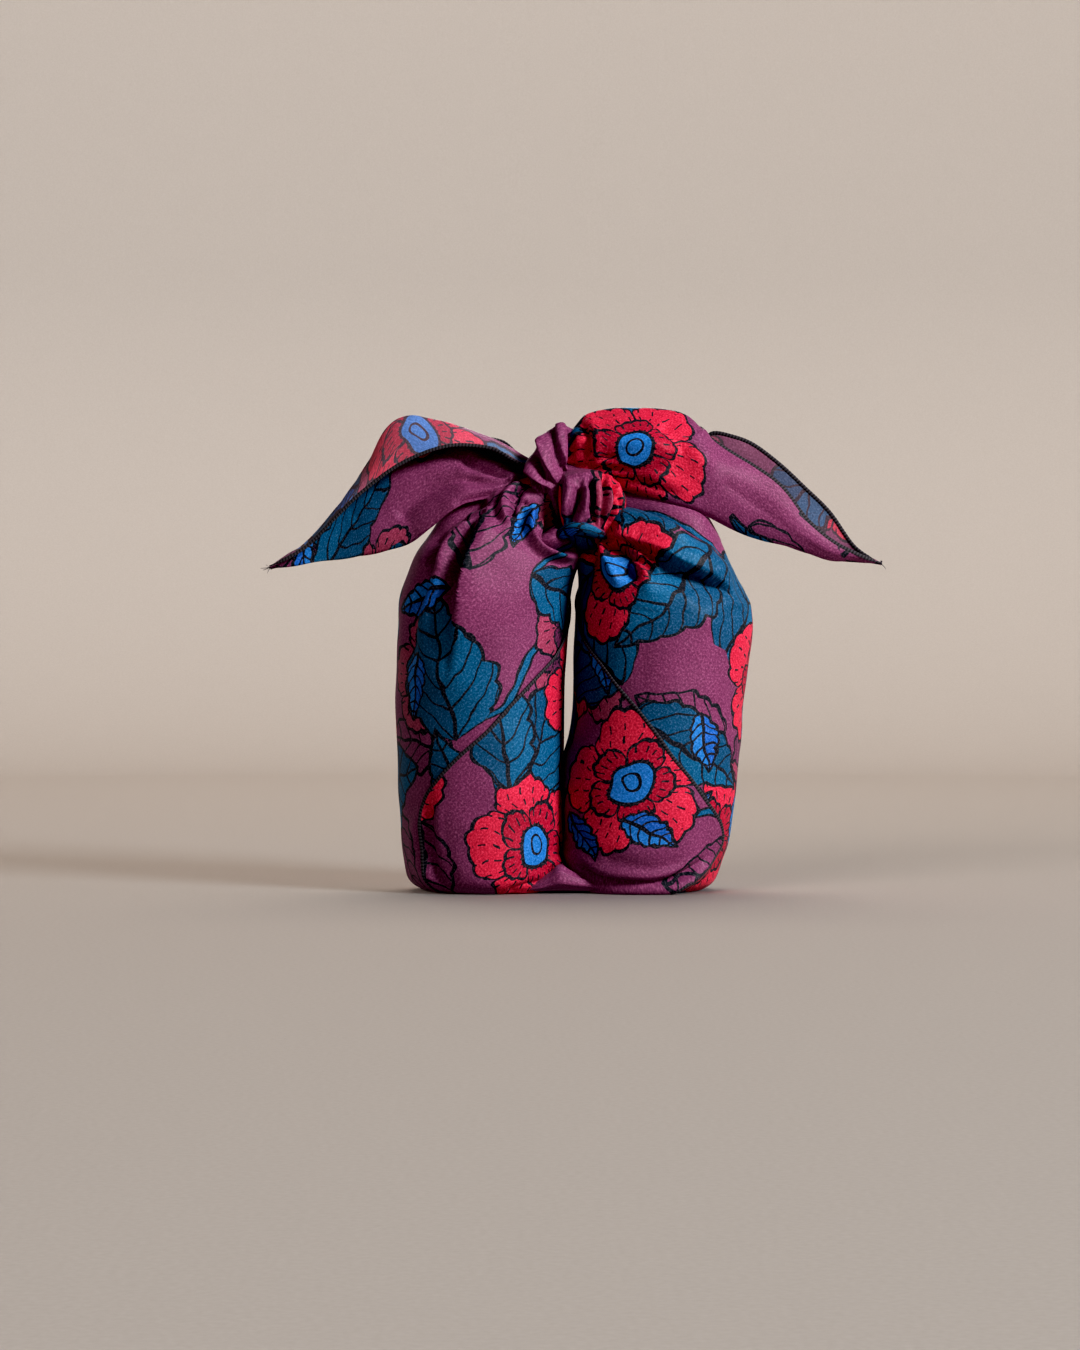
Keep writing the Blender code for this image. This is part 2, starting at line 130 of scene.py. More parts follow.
def pressFolds(points, outward, folds, facing="front", mask=1, fadeOver=pressing["fadeOver"]):
    # raises ridges and sinks valleys along lines given as the camera sees them
    x, z = seenPlane(points) if facing == "front" else (points[..., 0], points[..., 2])
    push, slide = np.zeros(x.shape), np.zeros(points.shape)
    sign = -1 if facing == "front" else 1
    shown = np.clip(sign * outward[..., 1] * fadeOver[0] + fadeOver[1], 0, 1) * mask
    for kind, line, width, height in folds:
        path = resample(line, (len(line) - 1) * pressing["lineSteps"] + 1)
        d, along, leftX, leftZ = lineDistance(x, z, path)
        fade = easeIn(np.clip(along / pressing["fadeIn"], pressing["least"], 1)
                      * np.clip((1 - along) / pressing["fadeOut"], 0, 1)) * shown
        if kind == "step":  # one side stands proud and leans over the other
            above = easeIn(np.clip(d + 0.5, 0, 1))
            swell = np.exp(-(np.maximum(d, 0) / width) ** 2)
            hollow = np.exp(-(np.minimum(d, 0) / (width * pressing["stepSpread"])) ** 2)
            push += height * (above * swell - pressing["stepHollow"] * (1 - above) * hollow) * fade
            lean = pressing["lean"] * height * above * np.exp(-(d / pressing["leanReach"]) ** 2) * fade
            slide[..., 0] -= leftX * lean
            slide[..., 2] -= leftZ * lean
        elif kind == "ridge":
            dip = pressing["dip"] * np.exp(-((np.abs(d) - pressing["dipAt"] * width) / width) ** 2)
            push += height * (np.exp(-(d / width) ** 2) - dip) * fade
        else:  # a valley is sharp at its floor, between rounded shoulders
            beside = (np.abs(d) - pressing["shoulderAt"] * width) / (pressing["shoulderWidth"] * width)
            shoulder = pressing["shoulder"] * np.exp(-beside ** 2)
            push -= height * (np.exp(-np.abs(d / width) ** 1.35) - shoulder) * fade
    return points + outward * push[..., None] + slide


def pleat(angle, count, seed):
    # uneven gathers round a tied end, from -1 in the creases to 0.4 on the crests
    wander = angle + 0.35 * np.sin(2 * angle + seed) + 0.2 * np.sin(3 * angle + 2.3 * seed)
    deep = 0.65 + 0.35 * np.sin(angle + 1.7 * seed) * np.sin(angle * 2 + seed)
    return deep * (1.4 * np.abs(np.sin(count / 2 * wander + seed)) ** 0.75 - 1)


def softNoise(points, size, seed, waves=9):
    # smooth lumps made of a few sine waves in fixed directions
    rng = np.random.default_rng(seed)
    total = np.zeros(points.shape[:2])
    for _ in range(waves):
        way = unit(rng.normal(size=3))
        total += np.sin(points @ way * (fullTurn / size) * rng.uniform(0.6, 1.5) + rng.uniform(0, 6.28))
    return total / math.sqrt(waves)


class ClothMesh:
    # gathers grids of points into one mesh, with the flat cloth's place of each point
    def __init__(self):
        self.points, self.places, self.reverse, self.faces, self.count = [], [], [], [], 0

    def add(self, points, places, outward, reverse=0):
        # outward is a field of vectors that the faces should agree with; the last argument is 1 on strips
        # that get a painted sheen highlight
        rows, cols = points.shape[:2]
        first = self.count + np.arange(rows * cols).reshape(rows, cols)
        quads = np.stack([first[:-1, :-1], first[:-1, 1:], first[1:, 1:], first[1:, :-1]], axis=-1)
        across, along = points[:-1, 1:] - points[:-1, :-1], points[1:, :-1] - points[:-1, :-1]
        flip = np.sum(np.cross(across, along) * outward[:-1, :-1]) < 0
        self.points.append((points.reshape(-1, 3) + shift) * mm)
        self.places.append(places.reshape(-1, 2) * mm)
        self.reverse.append(np.broadcast_to(reverse, (rows, cols)).ravel())
        self.faces.append((quads[..., ::-1] if flip else quads).reshape(-1, 4))
        self.count += rows * cols

    def build(self, name, material):
        points, places, faces = (np.concatenate(part) for part in (self.points, self.places, self.faces))
        mesh = bpy.data.meshes.new(name)
        mesh.from_pydata(points, [], faces, shade_flat=False)
        # marks the strips that get the painted sheen highlight
        paintedSheenBand = mesh.attributes.new("reverseSide", "FLOAT", "POINT")
        paintedSheenBand.data.foreach_set("value", np.concatenate(self.reverse).astype(np.float32))
        flat = mesh.uv_layers.new(name="FlatCloth")
        flat.data.foreach_set("uv", places[faces.ravel()].ravel())
        mesh.materials.append(material)
        mesh.validate()
        return placed(name, mesh)


def placed(name, data):
    # puts an object with this mesh, light or camera into the scene
    thing = bpy.data.objects.new(name, data)
    bpy.context.scene.collection.objects.link(thing)
    return thing


def newMaterial(name):
    # gives the material and a short way to add nodes to it
    material = bpy.data.materials.new(name)
    material.use_nodes = True
    material.node_tree.nodes.clear()
    return material, partial(addNode, material.node_tree)


def addNode(tree, kind, *values, out=None, **settings):
    # adds a node with its settings and links, and gives an output; a kind in capitals is a Math operation
    # values are numbers, colours or outputs in the inputs' order, then a dictionary of any given by name
    kind, _, mode = ("Math." + kind if kind.isupper() else kind).partition(".")
    node = tree.nodes.new("ShaderNode" + kind)
    if mode:
        settings["data_type" if kind == "Mix" else "operation"] = mode
    for name, setting in settings.items():
        setattr(node, name, setting)
    named = values[-1] if values and isinstance(values[-1], dict) else {}
    inOrder = zip([socket for socket in node.inputs if socket.enabled], values[:-1] if named else values)
    for socket, value in [*inOrder, *((node.inputs[name], value) for name, value in named.items())]:
        if isinstance(value, bpy.types.NodeSocket):
            tree.links.new(value, socket)
        else:
            socket.default_value = value
    return node.outputs[out] if out else next((socket for socket in node.outputs if socket.enabled), None)


# bareThread is also the pale colour of the painted sheen highlight on the ears' marked strips
inks = {
    "ground": "82446c", "teal": "04678f", "tealDeep": "044b6e", "blue": "2a80c6", "blueDeep": "1a5cb4",
    "crimson": "cb3354", "crimsonDeep": "ac1c42", "tone": "6b345a", "rose": "9b4866", "line": "1a232e",
    "bareThread": "d8b8c8",
}
# the print's layers, lowest first: each grid's cell in mm, turn, offset in cells, share filled and seed,
# then its motif's sizes in mm and shares of its length or width
printLayers = {
    "toneLeaves": {
        "cell": 49, "turn": 0.55, "offset": (0.3, 0.7), "share": 0.5, "seed": 3,
        "inks": ("ground", "tone"), "length": 46, "width": 26, "veins": 6, "outline": 1.5, "vein": 0.9,
        "bow": 3, "fullness": 0.72, "scallop": 0.12, "halfTone": 0.3},
    "roseBlossoms": {
        "cell": 71, "turn": 1.15, "offset": (0.75, 0.3), "share": 0.5, "seed": 17,
        "inks": ("rose", "tone", "tone"), "radius": 25},
    "largeLeaves": {
        "cell": 62, "turn": 0.18, "offset": (0.15, 0.4), "share": 0.74, "seed": 11,
        "inks": ("teal", "tealDeep"), "length": 60, "width": 46, "veins": 6, "outline": 1.6, "vein": 0.95,
        "bow": 3, "fullness": 0.66, "scallop": 0.14, "halfTone": 0.55},
    "blossoms": {
        "cell": 78, "turn": 0.42, "offset": (0.05, 0.55), "share": 0.62, "seed": 37,
        "inks": ("crimson", "crimsonDeep", "blue"), "radius": 31},
    "longLeaves": {
        "cell": 66, "turn": 0.95, "offset": (0.62, 0.1), "share": 0.62, "seed": 23,
        "inks": ("teal", "tealDeep"), "length": 66, "width": 32, "veins": 7, "outline": 1.6, "vein": 0.95,
        "bow": 4, "fullness": 0.72, "scallop": 0.16, "halfTone": 0.55},
    "smallLeaves": {
        "cell": 34, "turn": 0.75, "offset": (0.4, 0.2), "share": 0.2, "seed": 51,
        "inks": ("blue", "blueDeep"), "length": 26, "width": 12.5, "veins": 6, "outline": 1.4, "vein": 0.75,
        "bow": 1.5, "fullness": 0.72, "scallop": 0.2, "halfTone": 0.6},
}
scatter = {"jitter": 0.2, "twist": 44}  # how far motifs leave the middle of their cells, and turn
leafDrawing = {
    "sway": 2.6,  # radians along the leaf that its middle bows through
    "veinCurve": 1.35, "veinCurl": 0.42, "sideVein": 1.25,
    "midrib": 1.15, "midribTaper": 0.7,  # vein widths
}
flower = {
    "petals": 2.5, "rays": 12.5,  # half of how many there are
    "innerSize": 0.56, "waist": 0.6, "lobe": 0.36, "ruffle": 0.05,  # shares of the radius
    "rayMiddle": 0.68, "rayReach": 0.22, "heart": 0.26, "eye": 0.11,
    "outline": 0.8, "split": 1.4, "rayWidth": 4.2, "heartRing": 0.7, "eyeRing": 0.5,  # mm
    "dashes": 0.19, "dashShare": 0.27,  # dashes to the mm, and half the drawn share
}
vine = {
    "turn": 0.35, "spacing": 150, "halfWidth": 1.2, "halfOutlined": 2.3,
    "waves": ((0.062, 11), (0.17, 3)),  # radians to the mm, and mm aside
}


def motifPlace(add, place, layer):
    # the nearest cell of the layer's grid: local x and y in mm, and whether the cell is filled
    cells = add("Mapping", place, (*layer["offset"], 0), (0, 0, layer["turn"]), (1000 / layer["cell"],) * 3)
    seeded = add("VectorMath.ADD", add("VectorMath.FLOOR", cells), (layer["seed"], layer["seed"] * 1.7, 0))
    noise = add("TexWhiteNoise", {"Vector": seeded}, noise_dimensions="2D").node
    centred = add("VectorMath.SUBTRACT", add("VectorMath.FRACTION", cells), (0.5, 0.5, 0))
    jitter = scatter["jitter"]
    moved = add("VectorMath.MULTIPLY_ADD", noise.outputs["Color"],
                (-jitter, -jitter, 0), (jitter / 2, jitter / 2, 0))
    turned = add("VectorRotate", {
        "Vector": add("VectorMath.ADD", centred, moved),
        "Angle": add("MULTIPLY", noise.outputs["Value"], scatter["twist"])}, rotation_type="Z_AXIS")
    local = add("SeparateXYZ", add("VectorMath.MULTIPLY", turned, (layer["cell"],) * 3)).node
    chance = add("SeparateColor", noise.outputs["Color"]).node
    return local.outputs[0], local.outputs[1], add("LESS_THAN", chance.outputs[2], layer["share"])


def leaf(add, place, layer, below, ink):
    # a pointed leaf with scalloped edges, a midrib and curved side veins
    light, dark = (ink[name] for name in layer["inks"])
    length, half, veins, vein = layer["length"], layer["width"] / 2, layer["veins"], layer["vein"]
    x, y, filled = motifPlace(add, place, layer)
    swing = add("SINE", add("MULTIPLY", x, leafDrawing["sway"] / length))
    bowed = add("MULTIPLY_ADD", swing, layer["bow"], y)
    share = add("MULTIPLY_ADD", x, 1 / length, 0.5)
    inside = add("Clamp", share)
    beyond = add("MULTIPLY", add("ABSOLUTE", add("SUBTRACT", share, inside)), length)
    belly = add("SINE", add("MULTIPLY", add("POWER", inside, layer["fullness"]), math.pi))
    scallop = add("ABSOLUTE", add("SINE", add("MULTIPLY", inside, math.pi * veins)))
    notch = layer["scallop"]
    edge = add("MULTIPLY", belly, add("MULTIPLY_ADD", scallop, notch * half, (1 - notch) * half))
    aside = add("ABSOLUTE", bowed)
    away = add("ADD", add("SUBTRACT", aside, edge), beyond)
    body = add("MULTIPLY", add("LESS_THAN", away, 0), filled)
    rim = add("MULTIPLY", add("COMPARE", away, 0, layer["outline"] / 2), filled)
    curl = add("MULTIPLY", add("POWER", aside, leafDrawing["veinCurve"]),
               -leafDrawing["veinCurl"] * veins / length)
    slope = add("FRACT", add("ADD", add("MULTIPLY", share, veins), curl))
    side = add("LESS_THAN", slope, vein * veins / length * leafDrawing["sideVein"])
    taper = add("MULTIPLY_ADD", share, -vein * leafDrawing["midribTaper"], vein * leafDrawing["midrib"])
    lines = add("MULTIPLY", add("MAXIMUM", side, add("LESS_THAN", aside, taper)), body)
    shade = add("MULTIPLY", add("LESS_THAN", bowed, 0), layer["halfTone"])
    filling = add("Mix.RGBA", body, below, add("Mix.RGBA", shade, light, dark))
    return add("Mix.RGBA", add("MAXIMUM", lines, rim), filling, ink["line"])


def blossom(add, place, layer, below, ink):
    # five broad petals with thin rays, five darker petals on them, and a ringed heart
    petal, inner, heart = (ink[name] for name in layer["inks"])
    radius = layer["radius"]
    x, y, filled = motifPlace(add, place, layer)
    far = add("SQRT", add("ADD", add("MULTIPLY", x, x), add("MULTIPLY", y, y)))
    angle = add("ARCTAN2", y, x)
    rayAt = add("ABSOLUTE", add("SINE", add("MULTIPLY", angle, flower["rays"])))
    colour = below
    for size, turn, fill in ((radius, 0, petal), (radius * flower["innerSize"], math.pi / 2, inner)):
        lobe = add("ABSOLUTE", add("COSINE", add("MULTIPLY_ADD", angle, flower["petals"], turn)))
        ruffled = add("MULTIPLY_ADD", rayAt, size * flower["ruffle"], size * flower["waist"])
        reach = add("MULTIPLY_ADD", add("POWER", lobe, 0.5), size * flower["lobe"], ruffled)
        away = add("SUBTRACT", far, reach)
        body = add("MULTIPLY", add("LESS_THAN", away, 0), filled)
        rim = add("MULTIPLY", add("COMPARE", away, 0, flower["outline"]), filled)
        split = add("LESS_THAN", add("MULTIPLY", lobe, far), flower["split"])
        thin = add("LESS_THAN", add("MULTIPLY", rayAt, far), flower["rayWidth"])
        dash = add("COMPARE", add("FRACT", add("MULTIPLY", far, flower["dashes"])), 0.5, flower["dashShare"])
        ray = add("MULTIPLY", add("MULTIPLY", thin, dash),
                  add("COMPARE", far, size * flower["rayMiddle"], size * flower["rayReach"]))
        drawn = add("MAXIMUM", add("MULTIPLY", add("MAXIMUM", split, ray), body), rim)
        colour = add("Mix.RGBA", drawn, add("Mix.RGBA", body, colour, fill), ink["line"])
    centre = add("MULTIPLY", add("LESS_THAN", far, radius * flower["heart"]), filled)
    rings = add("MAXIMUM", add("COMPARE", far, radius * flower["heart"], flower["heartRing"]),
                add("COMPARE", far, radius * flower["eye"], flower["eyeRing"]))
    hearted = add("Mix.RGBA", centre, colour, heart)
    return add("Mix.RGBA", add("MULTIPLY", rings, filled), hearted, ink["line"])


def vines(add, place, below, ink):
    # long wavy stems
    along = add("Mapping", {"Vector": place, "Rotation": (0, 0, vine["turn"]), "Scale": (1000,) * 3})
    flat = add("SeparateXYZ", along).node
    across = flat.outputs[1]
    for pace, sway in vine["waves"]:
        across = add("MULTIPLY_ADD", add("SINE", add("MULTIPLY", flat.outputs[0], pace)), sway, across)
    away = add("PINGPONG", across, vine["spacing"] / 2)
    outlined = add("Mix.RGBA", add("LESS_THAN", away, vine["halfOutlined"]), below, ink["line"])
    return add("Mix.RGBA", add("LESS_THAN", away, vine["halfWidth"]), outlined, ink["teal"])


clothLook = {
    "wander": 70, "specks": 1150, "dyeClouds": 45, "creases": 130,  # to the metre
    "threadPitch": 0.42, "threadDepth": 0.05, "creaseDepth": 1,  # mm
    "waver": 8,  # mm, the widest that a drawn line can stray
    "roughness": (0.48, 0.72),
    "sheen": 0.06,
    "speckle": 0.43, "dye": 0.08,  # how far the colour swings from speck to speck and from cloud to cloud
    "bareThread": 0.26,  # how much unprinted thread shows on the highest specks
    "paintedSheenPaling": 0.17,  # painted sheen highlight: how much more of the pale thread colour goes on the ears' marked strips, where the key light's sheen falls
}


def printedCotton():
    # screen-printed crepe cotton: flat inks with dark outlines, speckled by the twisted threads, matt
    material, add = newMaterial("screenPrintedCotton")
    place = add("UVMap", uv_map="FlatCloth")
    # lines drawn by hand wander by a millimetre or two
    waver = clothLook["waver"] * mm
    wander = add("TexNoise", {"Vector": place, "Scale": clothLook["wander"], "Detail": 1.5}, out=1)
    drawn = add("VectorMath.MULTIPLY_ADD", wander, (waver, waver, 0),
                add("VectorMath.SUBTRACT", place, (waver / 2, waver / 2, 0)))
    ink = {name: hexColour(value) for name, value in inks.items()}
    print("mixing the print")
    colour = vines(add, drawn, ink["ground"], ink)
    for layer in printLayers.values():
        motif = blossom if "radius" in layer else leaf
        colour = motif(add, drawn, layer, colour, ink)
    # pale specks where the crepe thread rises through the ink, and broad unevenness of the dye
    speckle = add("TexNoise", {"Vector": place, "Scale": clothLook["specks"], "Detail": 3, "Roughness": 0.75})
    cloud = add("TexNoise", {"Vector": place, "Scale": clothLook["dyeClouds"], "Detail": 3})
    lift = add("MapRange", speckle, 0.3, 0.7, 1 - clothLook["speckle"], 1 + clothLook["speckle"])
    dye = add("MapRange", cloud, 0.3, 0.7, 1 - clothLook["dye"], 1 + clothLook["dye"])
    inked = add("VectorMath.MULTIPLY", colour, add("MULTIPLY", lift, dye))
    bareThreadAndSheen = add("MapRange", speckle, 0.5, 0.8, 0, clothLook["bareThread"])
    # painted highlight: the ears' marked strips are mixed further towards the pale thread colour, in place of
    # the key light's sheen on them
    reverse = add("Attribute", out=2, attribute_name="reverseSide")
    bareThreadAndSheen = add("MULTIPLY_ADD", reverse, clothLook["paintedSheenPaling"], bareThreadAndSheen)
    # plain weave, warp and weft, drawn three times as coarse as it is so that it shows, then soft creases
    threads = [add("TexWave", {
        "Vector": place, "Scale": 100 / clothLook["threadPitch"], "Distortion": 0.8, "Detail": 1},
        out=1, bands_direction=direction) for direction in "XY"]
    weave = add("MULTIPLY_ADD", speckle, 0.8, add("MAXIMUM", *threads))
    bump = add("Bump", {"Height": weave, "Strength": 0.5, "Distance": clothLook["threadDepth"] * mm})
    creases = add("TexNoise", {"Vector": place, "Scale": clothLook["creases"], "Detail": 3})
    bump = add("Bump", {
        "Height": creases, "Strength": 0.35, "Distance": clothLook["creaseDepth"] * mm, "Normal": bump})
    add("OutputMaterial", add("BsdfPrincipled", {
        "Base Color": add("Mix.RGBA", bareThreadAndSheen, inked, ink["bareThread"]), "Normal": bump,
        "Roughness": add("MapRange", speckle, 0, 1, *clothLook["roughness"]), "Specular IOR Level": 0.3,
        "Sheen Weight": clothLook["sheen"], "Sheen Roughness": 0.4}))
    return material


hem = {
    "width": 1.7, "thick": 0.7, "pitch": 1.35,  # mm
    "steps": 4, "sides": 7,  # mesh rings to a stitch, and points round
    "taper": 6,  # mm at each end over which the hem thins
    "looseEnds": 4, "looseLength": (1.4, 3.2), "looseThick": 0.18,  # threads past each tip, in mm
    "fuzz": 2400,  # hairs to the metre
    "slant": 90,  # how far a stitch leans as it goes round
    "gap": "09090d", "thread": "5c5762",
}


def overlockThread():
    # spun polyester overlocking in dark grey: each stitch is a paler slanting thread beside a black gap
    material, add = newMaterial("overlockedThread")
    place = add("UVMap", uv_map="FlatCloth")
    fuzz = add("TexNoise", {"Vector": place, "Scale": hem["fuzz"], "Detail": 2})
    flat = add("SeparateXYZ", place).node
    slant = add("MULTIPLY_ADD", flat.outputs[0], 1000 / hem["pitch"],
                add("MULTIPLY", flat.outputs[1], hem["slant"]))
    stitch = add("ABSOLUTE", add("SINE", add("MULTIPLY", slant, math.pi)))
    shown = add("MULTIPLY", add("POWER", stitch, 1.5), add("MULTIPLY_ADD", fuzz, 1.2, 0.1))
    add("OutputMaterial", add("BsdfPrincipled", {
        "Base Color": add("Mix.RGBA", shown, hexColour(hem["gap"]), hexColour(hem["thread"])),
        "Normal": add("Bump", {"Height": fuzz, "Strength": 0.6, "Distance": 0.15 * mm}),
        "Roughness": 0.75, "Sheen Weight": 0.08}))
    return material


# outer x, outer z, inner x, inner z, half depth, hem angle
leftRows = [
    (-38, 0, -35, 0, 1.6, 46),
    (-47, 0, -26, 0, 10.5, 46),
    (-59.8, 0, -10.2, 0, 25.6, 46),
    (-63.8, 1.2, -7.2, 1.2, 29.4, 46),
    (-66.8, 3.4, -5.4, 3.4, 31.8, 45.5),
    (-68.7, 7, -4.6, 7, 33, 45),
    (-69.9, 16, -4.3, 16, 33.6, 44.5),
    (-71.2, 28, -4.3, 28, 33.9, 44.5),
    (-72, 38, -4.4, 38, 34, 49),
    (-72.2, 47, -4.7, 47, 34, 62),
    (-72.3, 56, -4.9, 56, 34, 77),
    (-72.5, 66, -5, 66, 34, 96),
    (-72.6, 77, -5, 77, 34, 113),
    (-72.5, 87, -4.7, 87, 34, 131),
    (-72.3, 97, -4.2, 96.5, 33.9, 150),
    (-71.9, 108, -3.4, 106, 33.8, 170),
    (-71, 118, -2.4, 114.5, 33.4, 186),
    (-68.5, 127, -1, 121.5, 32.4, 200),
    (-65.2, 135.5, 0.4, 127.5, 30.6, 213),
    (-60.5, 143.5, 1.6, 132, 28, 226),
    (-54.4, 152, 2.6, 136, 24.8, 238),
    (-45.8, 159.4, 2.6, 139.5, 21, 248),
    (-35.5, 165, 0, 142.5, 17.4, 256),
    (-26, 168.6, -3, 145, 14.4, 262),
    (-17, 171, -4, 148, 12, 266),
    (-8, 172.5, 0, 151, 10, 270),
    (0, 174, 4, 155, 7.5, 270),
]
rightRows = [
    (30, 0, 27, 0, 1.6, 82),
    (38, 0, 19, 0, 9.5, 82),
    (50.2, 0, 6.8, 0, 22.6, 80),
    (54, 1.2, 2.6, 1.2, 27, 72),
    (57, 3.6, -1.6, 3.6, 29.6, 60),
    (59, 7.5, -4.8, 7.5, 31.2, 46),
    (60.8, 13.5, -5.8, 13.5, 32, 32),
    (63, 20, -6, 20, 32.6, 26.5),
    (64.6, 27.5, -6, 27.5, 33, 33),
    (65.8, 37, -5.9, 37, 33.5, 50),
    (66.7, 46.5, -5, 46.5, 33.8, 64),
    (67.5, 55, -3.7, 55, 34, 77.5),
    (68.5, 64, -1.5, 64, 34.3, 90),
    (69, 74.5, 0, 74.5, 34.5, 105),
    (70, 85, 0.4, 85, 34.8, 122),
    (70.8, 94, 0.6, 93, 35, 135),
    (71.9, 102.5, 0.9, 101, 35.2, 150),
    (72.5, 110, 1.3, 108, 35.2, 163),
    (71.8, 117, 1.7, 114, 34.8, 175),
    (69.2, 122.5, 1.9, 119.5, 34, 186),
    (65.6, 128, 2, 124.5, 32.4, 196),
    (62.6, 134, 1.8, 129, 30.4, 206),
    (60.2, 140.5, 1.4, 133, 28, 218),
    (57.4, 146.5, 1.4, 136.5, 25, 230),
    (52.4, 153.6, 3, 139, 21.8, 240),
    (44.2, 158.8, 6, 141.5, 19, 250),
    (34.5, 162.4, 9, 143.5, 16.4, 257),
    (25, 164.4, 10.5, 146, 13.8, 263),
    (16, 165.2, 8, 149, 11.2, 268),
    (7, 166.5, 3.5, 152, 9, 270),
    (-1, 169, -2, 155, 7, 270),
]
roll = {
    "rings": 226, "around": 190,
    "lowerShare": 0.38, "shoulderRow": 16,  # the share of the rings below the shoulders, and their row
    "overlap": 24,  # degrees that the under layer runs on below the flap
    "hemLift": 1.1, "liftFoot": 3,  # mm that the flap's edge stands proud, and the height where it does
    "liftTop": 176, "liftOver": 16, "liftLeast": 0.25,  # where it sinks towards the knot, and to what share
    "hemFrom": 2.7, "hemTo": 2.7,  # rows at each end where the hem is hidden
    "radius": 34.6,  # mm, for the print's flat width
    "printHeight": 110,  # mm up the cloth to where the print's spot lies
    "frontFiner": 0.45,  # how much closer the points lie in front
    "gather": 1.5, "gatherFrom": 128, "gatherTo": 172,  # mm deep, and the heights that they grow over
    "gathers": 11, "fineGathers": 19, "fineGather": 0.5,  # how many, and the finer ones' share of the depth
    "gatherSlant": 0.012, "slantFrom": 140,  # radians to the mm above a height
    "smoothEdge": 18,  # degrees over which the gathers grow beside the smooth front
    "lumps": 0.28, "lumpSize": 26, "lumpsFrom": 3, "lumpsOver": 12,  # mm, and the heights that they grow over
}
innerRoll = {
    "fromRow": 4, "toRow": 16, "rings": 15, "turns": 4.7, "stepsPerTurn": 44,
    "inside": 3.4, "gap": 0.45, "radius": 34, "printRadius": 33,  # mm
}
# folds as the camera sees them: kind, (x, z) points in mm, half width, height
leftFolds = [
    # the lit front leans over the dark side that runs under the ear
    ("step", [(-35.7, 155.2), (-38.2, 148.7), (-39.8, 143.6), (-42, 138.6), (-43.9, 132.5), (-45.4, 126),
              (-46.8, 119), (-48.2, 109.5), (-49.9, 97), (-51.7, 82)], 7, 3.8),
    ("valley", [(-37.4, 152.8), (-39.8, 147), (-42.7, 141.5), (-46.2, 137.4), (-49.3, 132.5), (-51, 125),
                (-52, 112)], 1.9, 4.2),
    ("ridge", [(-42.7, 150.7), (-46.4, 147.4), (-49.9, 143.3), (-52.7, 139), (-54.6, 134), (-56, 127)],
               1.9, 2.6),
    ("valley", [(-43.5, 153.6), (-48.5, 150.2), (-53, 146), (-56.6, 140.5), (-59, 133), (-61, 122)],
                1.5, 3),
    ("ridge", [(-41.5, 156), (-47.2, 152.8), (-52.5, 149), (-57, 143.5)], 1.5, 1.6),
    ("valley", [(-36, 161.5), (-42, 158.4), (-48, 154.6), (-54, 149.4), (-59, 142.8), (-63, 134)], 2.4, 5),
    ("ridge", [(-56.2, 131), (-59.5, 122), (-62.4, 113), (-64.6, 100)], 2.4, 1.6),
    ("valley", [(-60.3, 128), (-64, 116.3), (-66.5, 104), (-67.7, 90)], 2, 2.4),
    ("ridge", [(-30.4, 147.4), (-34.5, 135.1), (-38, 118.7), (-41, 98.2)], 8, 1.2),
    # a small curl of cloth beside the knot
    ("ridge", [(-20.6, 165.9), (-26.3, 162.6), (-29.2, 157.3), (-28.4, 151.9), (-24.3, 150.3)], 1.5, 3),
    ("valley", [(-21.4, 163.4), (-24.7, 160.1), (-25.5, 155.6), (-23.4, 152.8)], 1.4, 3.4),
    ("valley", [(-18.9, 158.9), (-22.6, 158.9), (-23.4, 157.3)], 1, 2.4),
    ("valley", [(-22.2, 151.5), (-24.3, 147.4), (-26.3, 143.3)], 1.3, 2),
    ("valley", [(-20.6, 155), (-21.5, 147), (-22.6, 139)], 2.4, 0.8),
    # the rolled lip on the inner shoulder
    ("ridge", [(-16.5, 156.9), (-18.1, 151.5), (-17.7, 146.6), (-15.2, 142.1), (-11.5, 139), (-7, 137.2),
               (-1.7, 136.4), (2.8, 138)], 1.6, 3.6),
    ("valley", [(-14.4, 145.4), (-12.8, 142.5), (-9.1, 140.4), (-4.6, 139.2), (0.7, 139.8)], 1.3, 4.2),
    ("valley", [(-10.3, 152.4), (-10.5, 148.7), (-12, 143.7)], 1.3, 5),
    ("ridge", [(-8.5, 150.3), (-3.8, 146.6), (1.6, 141.7)], 1.8, 2.2),
    ("valley", [(-7.4, 132.7), (-10.7, 120.4), (-14, 106.4)], 5, 0.8),
    # the foot
    ("ridge", [(-11.1, 11.3), (-7.4, 11.3), (-4.6, 8.9), (-5.8, 4.8), (-10.7, 2.3)], 2, 2),
    ("valley", [(-27.1, -0.6), (-18.1, 2.3), (-9.1, 3.9)], 1.4, 1.4),
    ("valley", [(-3.3, 12.1), (-5, 7.2), (-1.7, 2.3)], 1.6, 1.6),
    ("valley", [(-59.3, 36), (-59.5, 24.4), (-58.3, 14.2), (-55.8, 5.5), (-51, 0.4)], 1.6, 2.8),
    ("ridge", [(-65, 30), (-65.4, 18.2), (-63, 8), (-57, 2)], 2.2, 1.2),
    ("valley", [(-54.5, 16), (-52.5, 8), (-47, 2)], 2.4, 0.9),
]
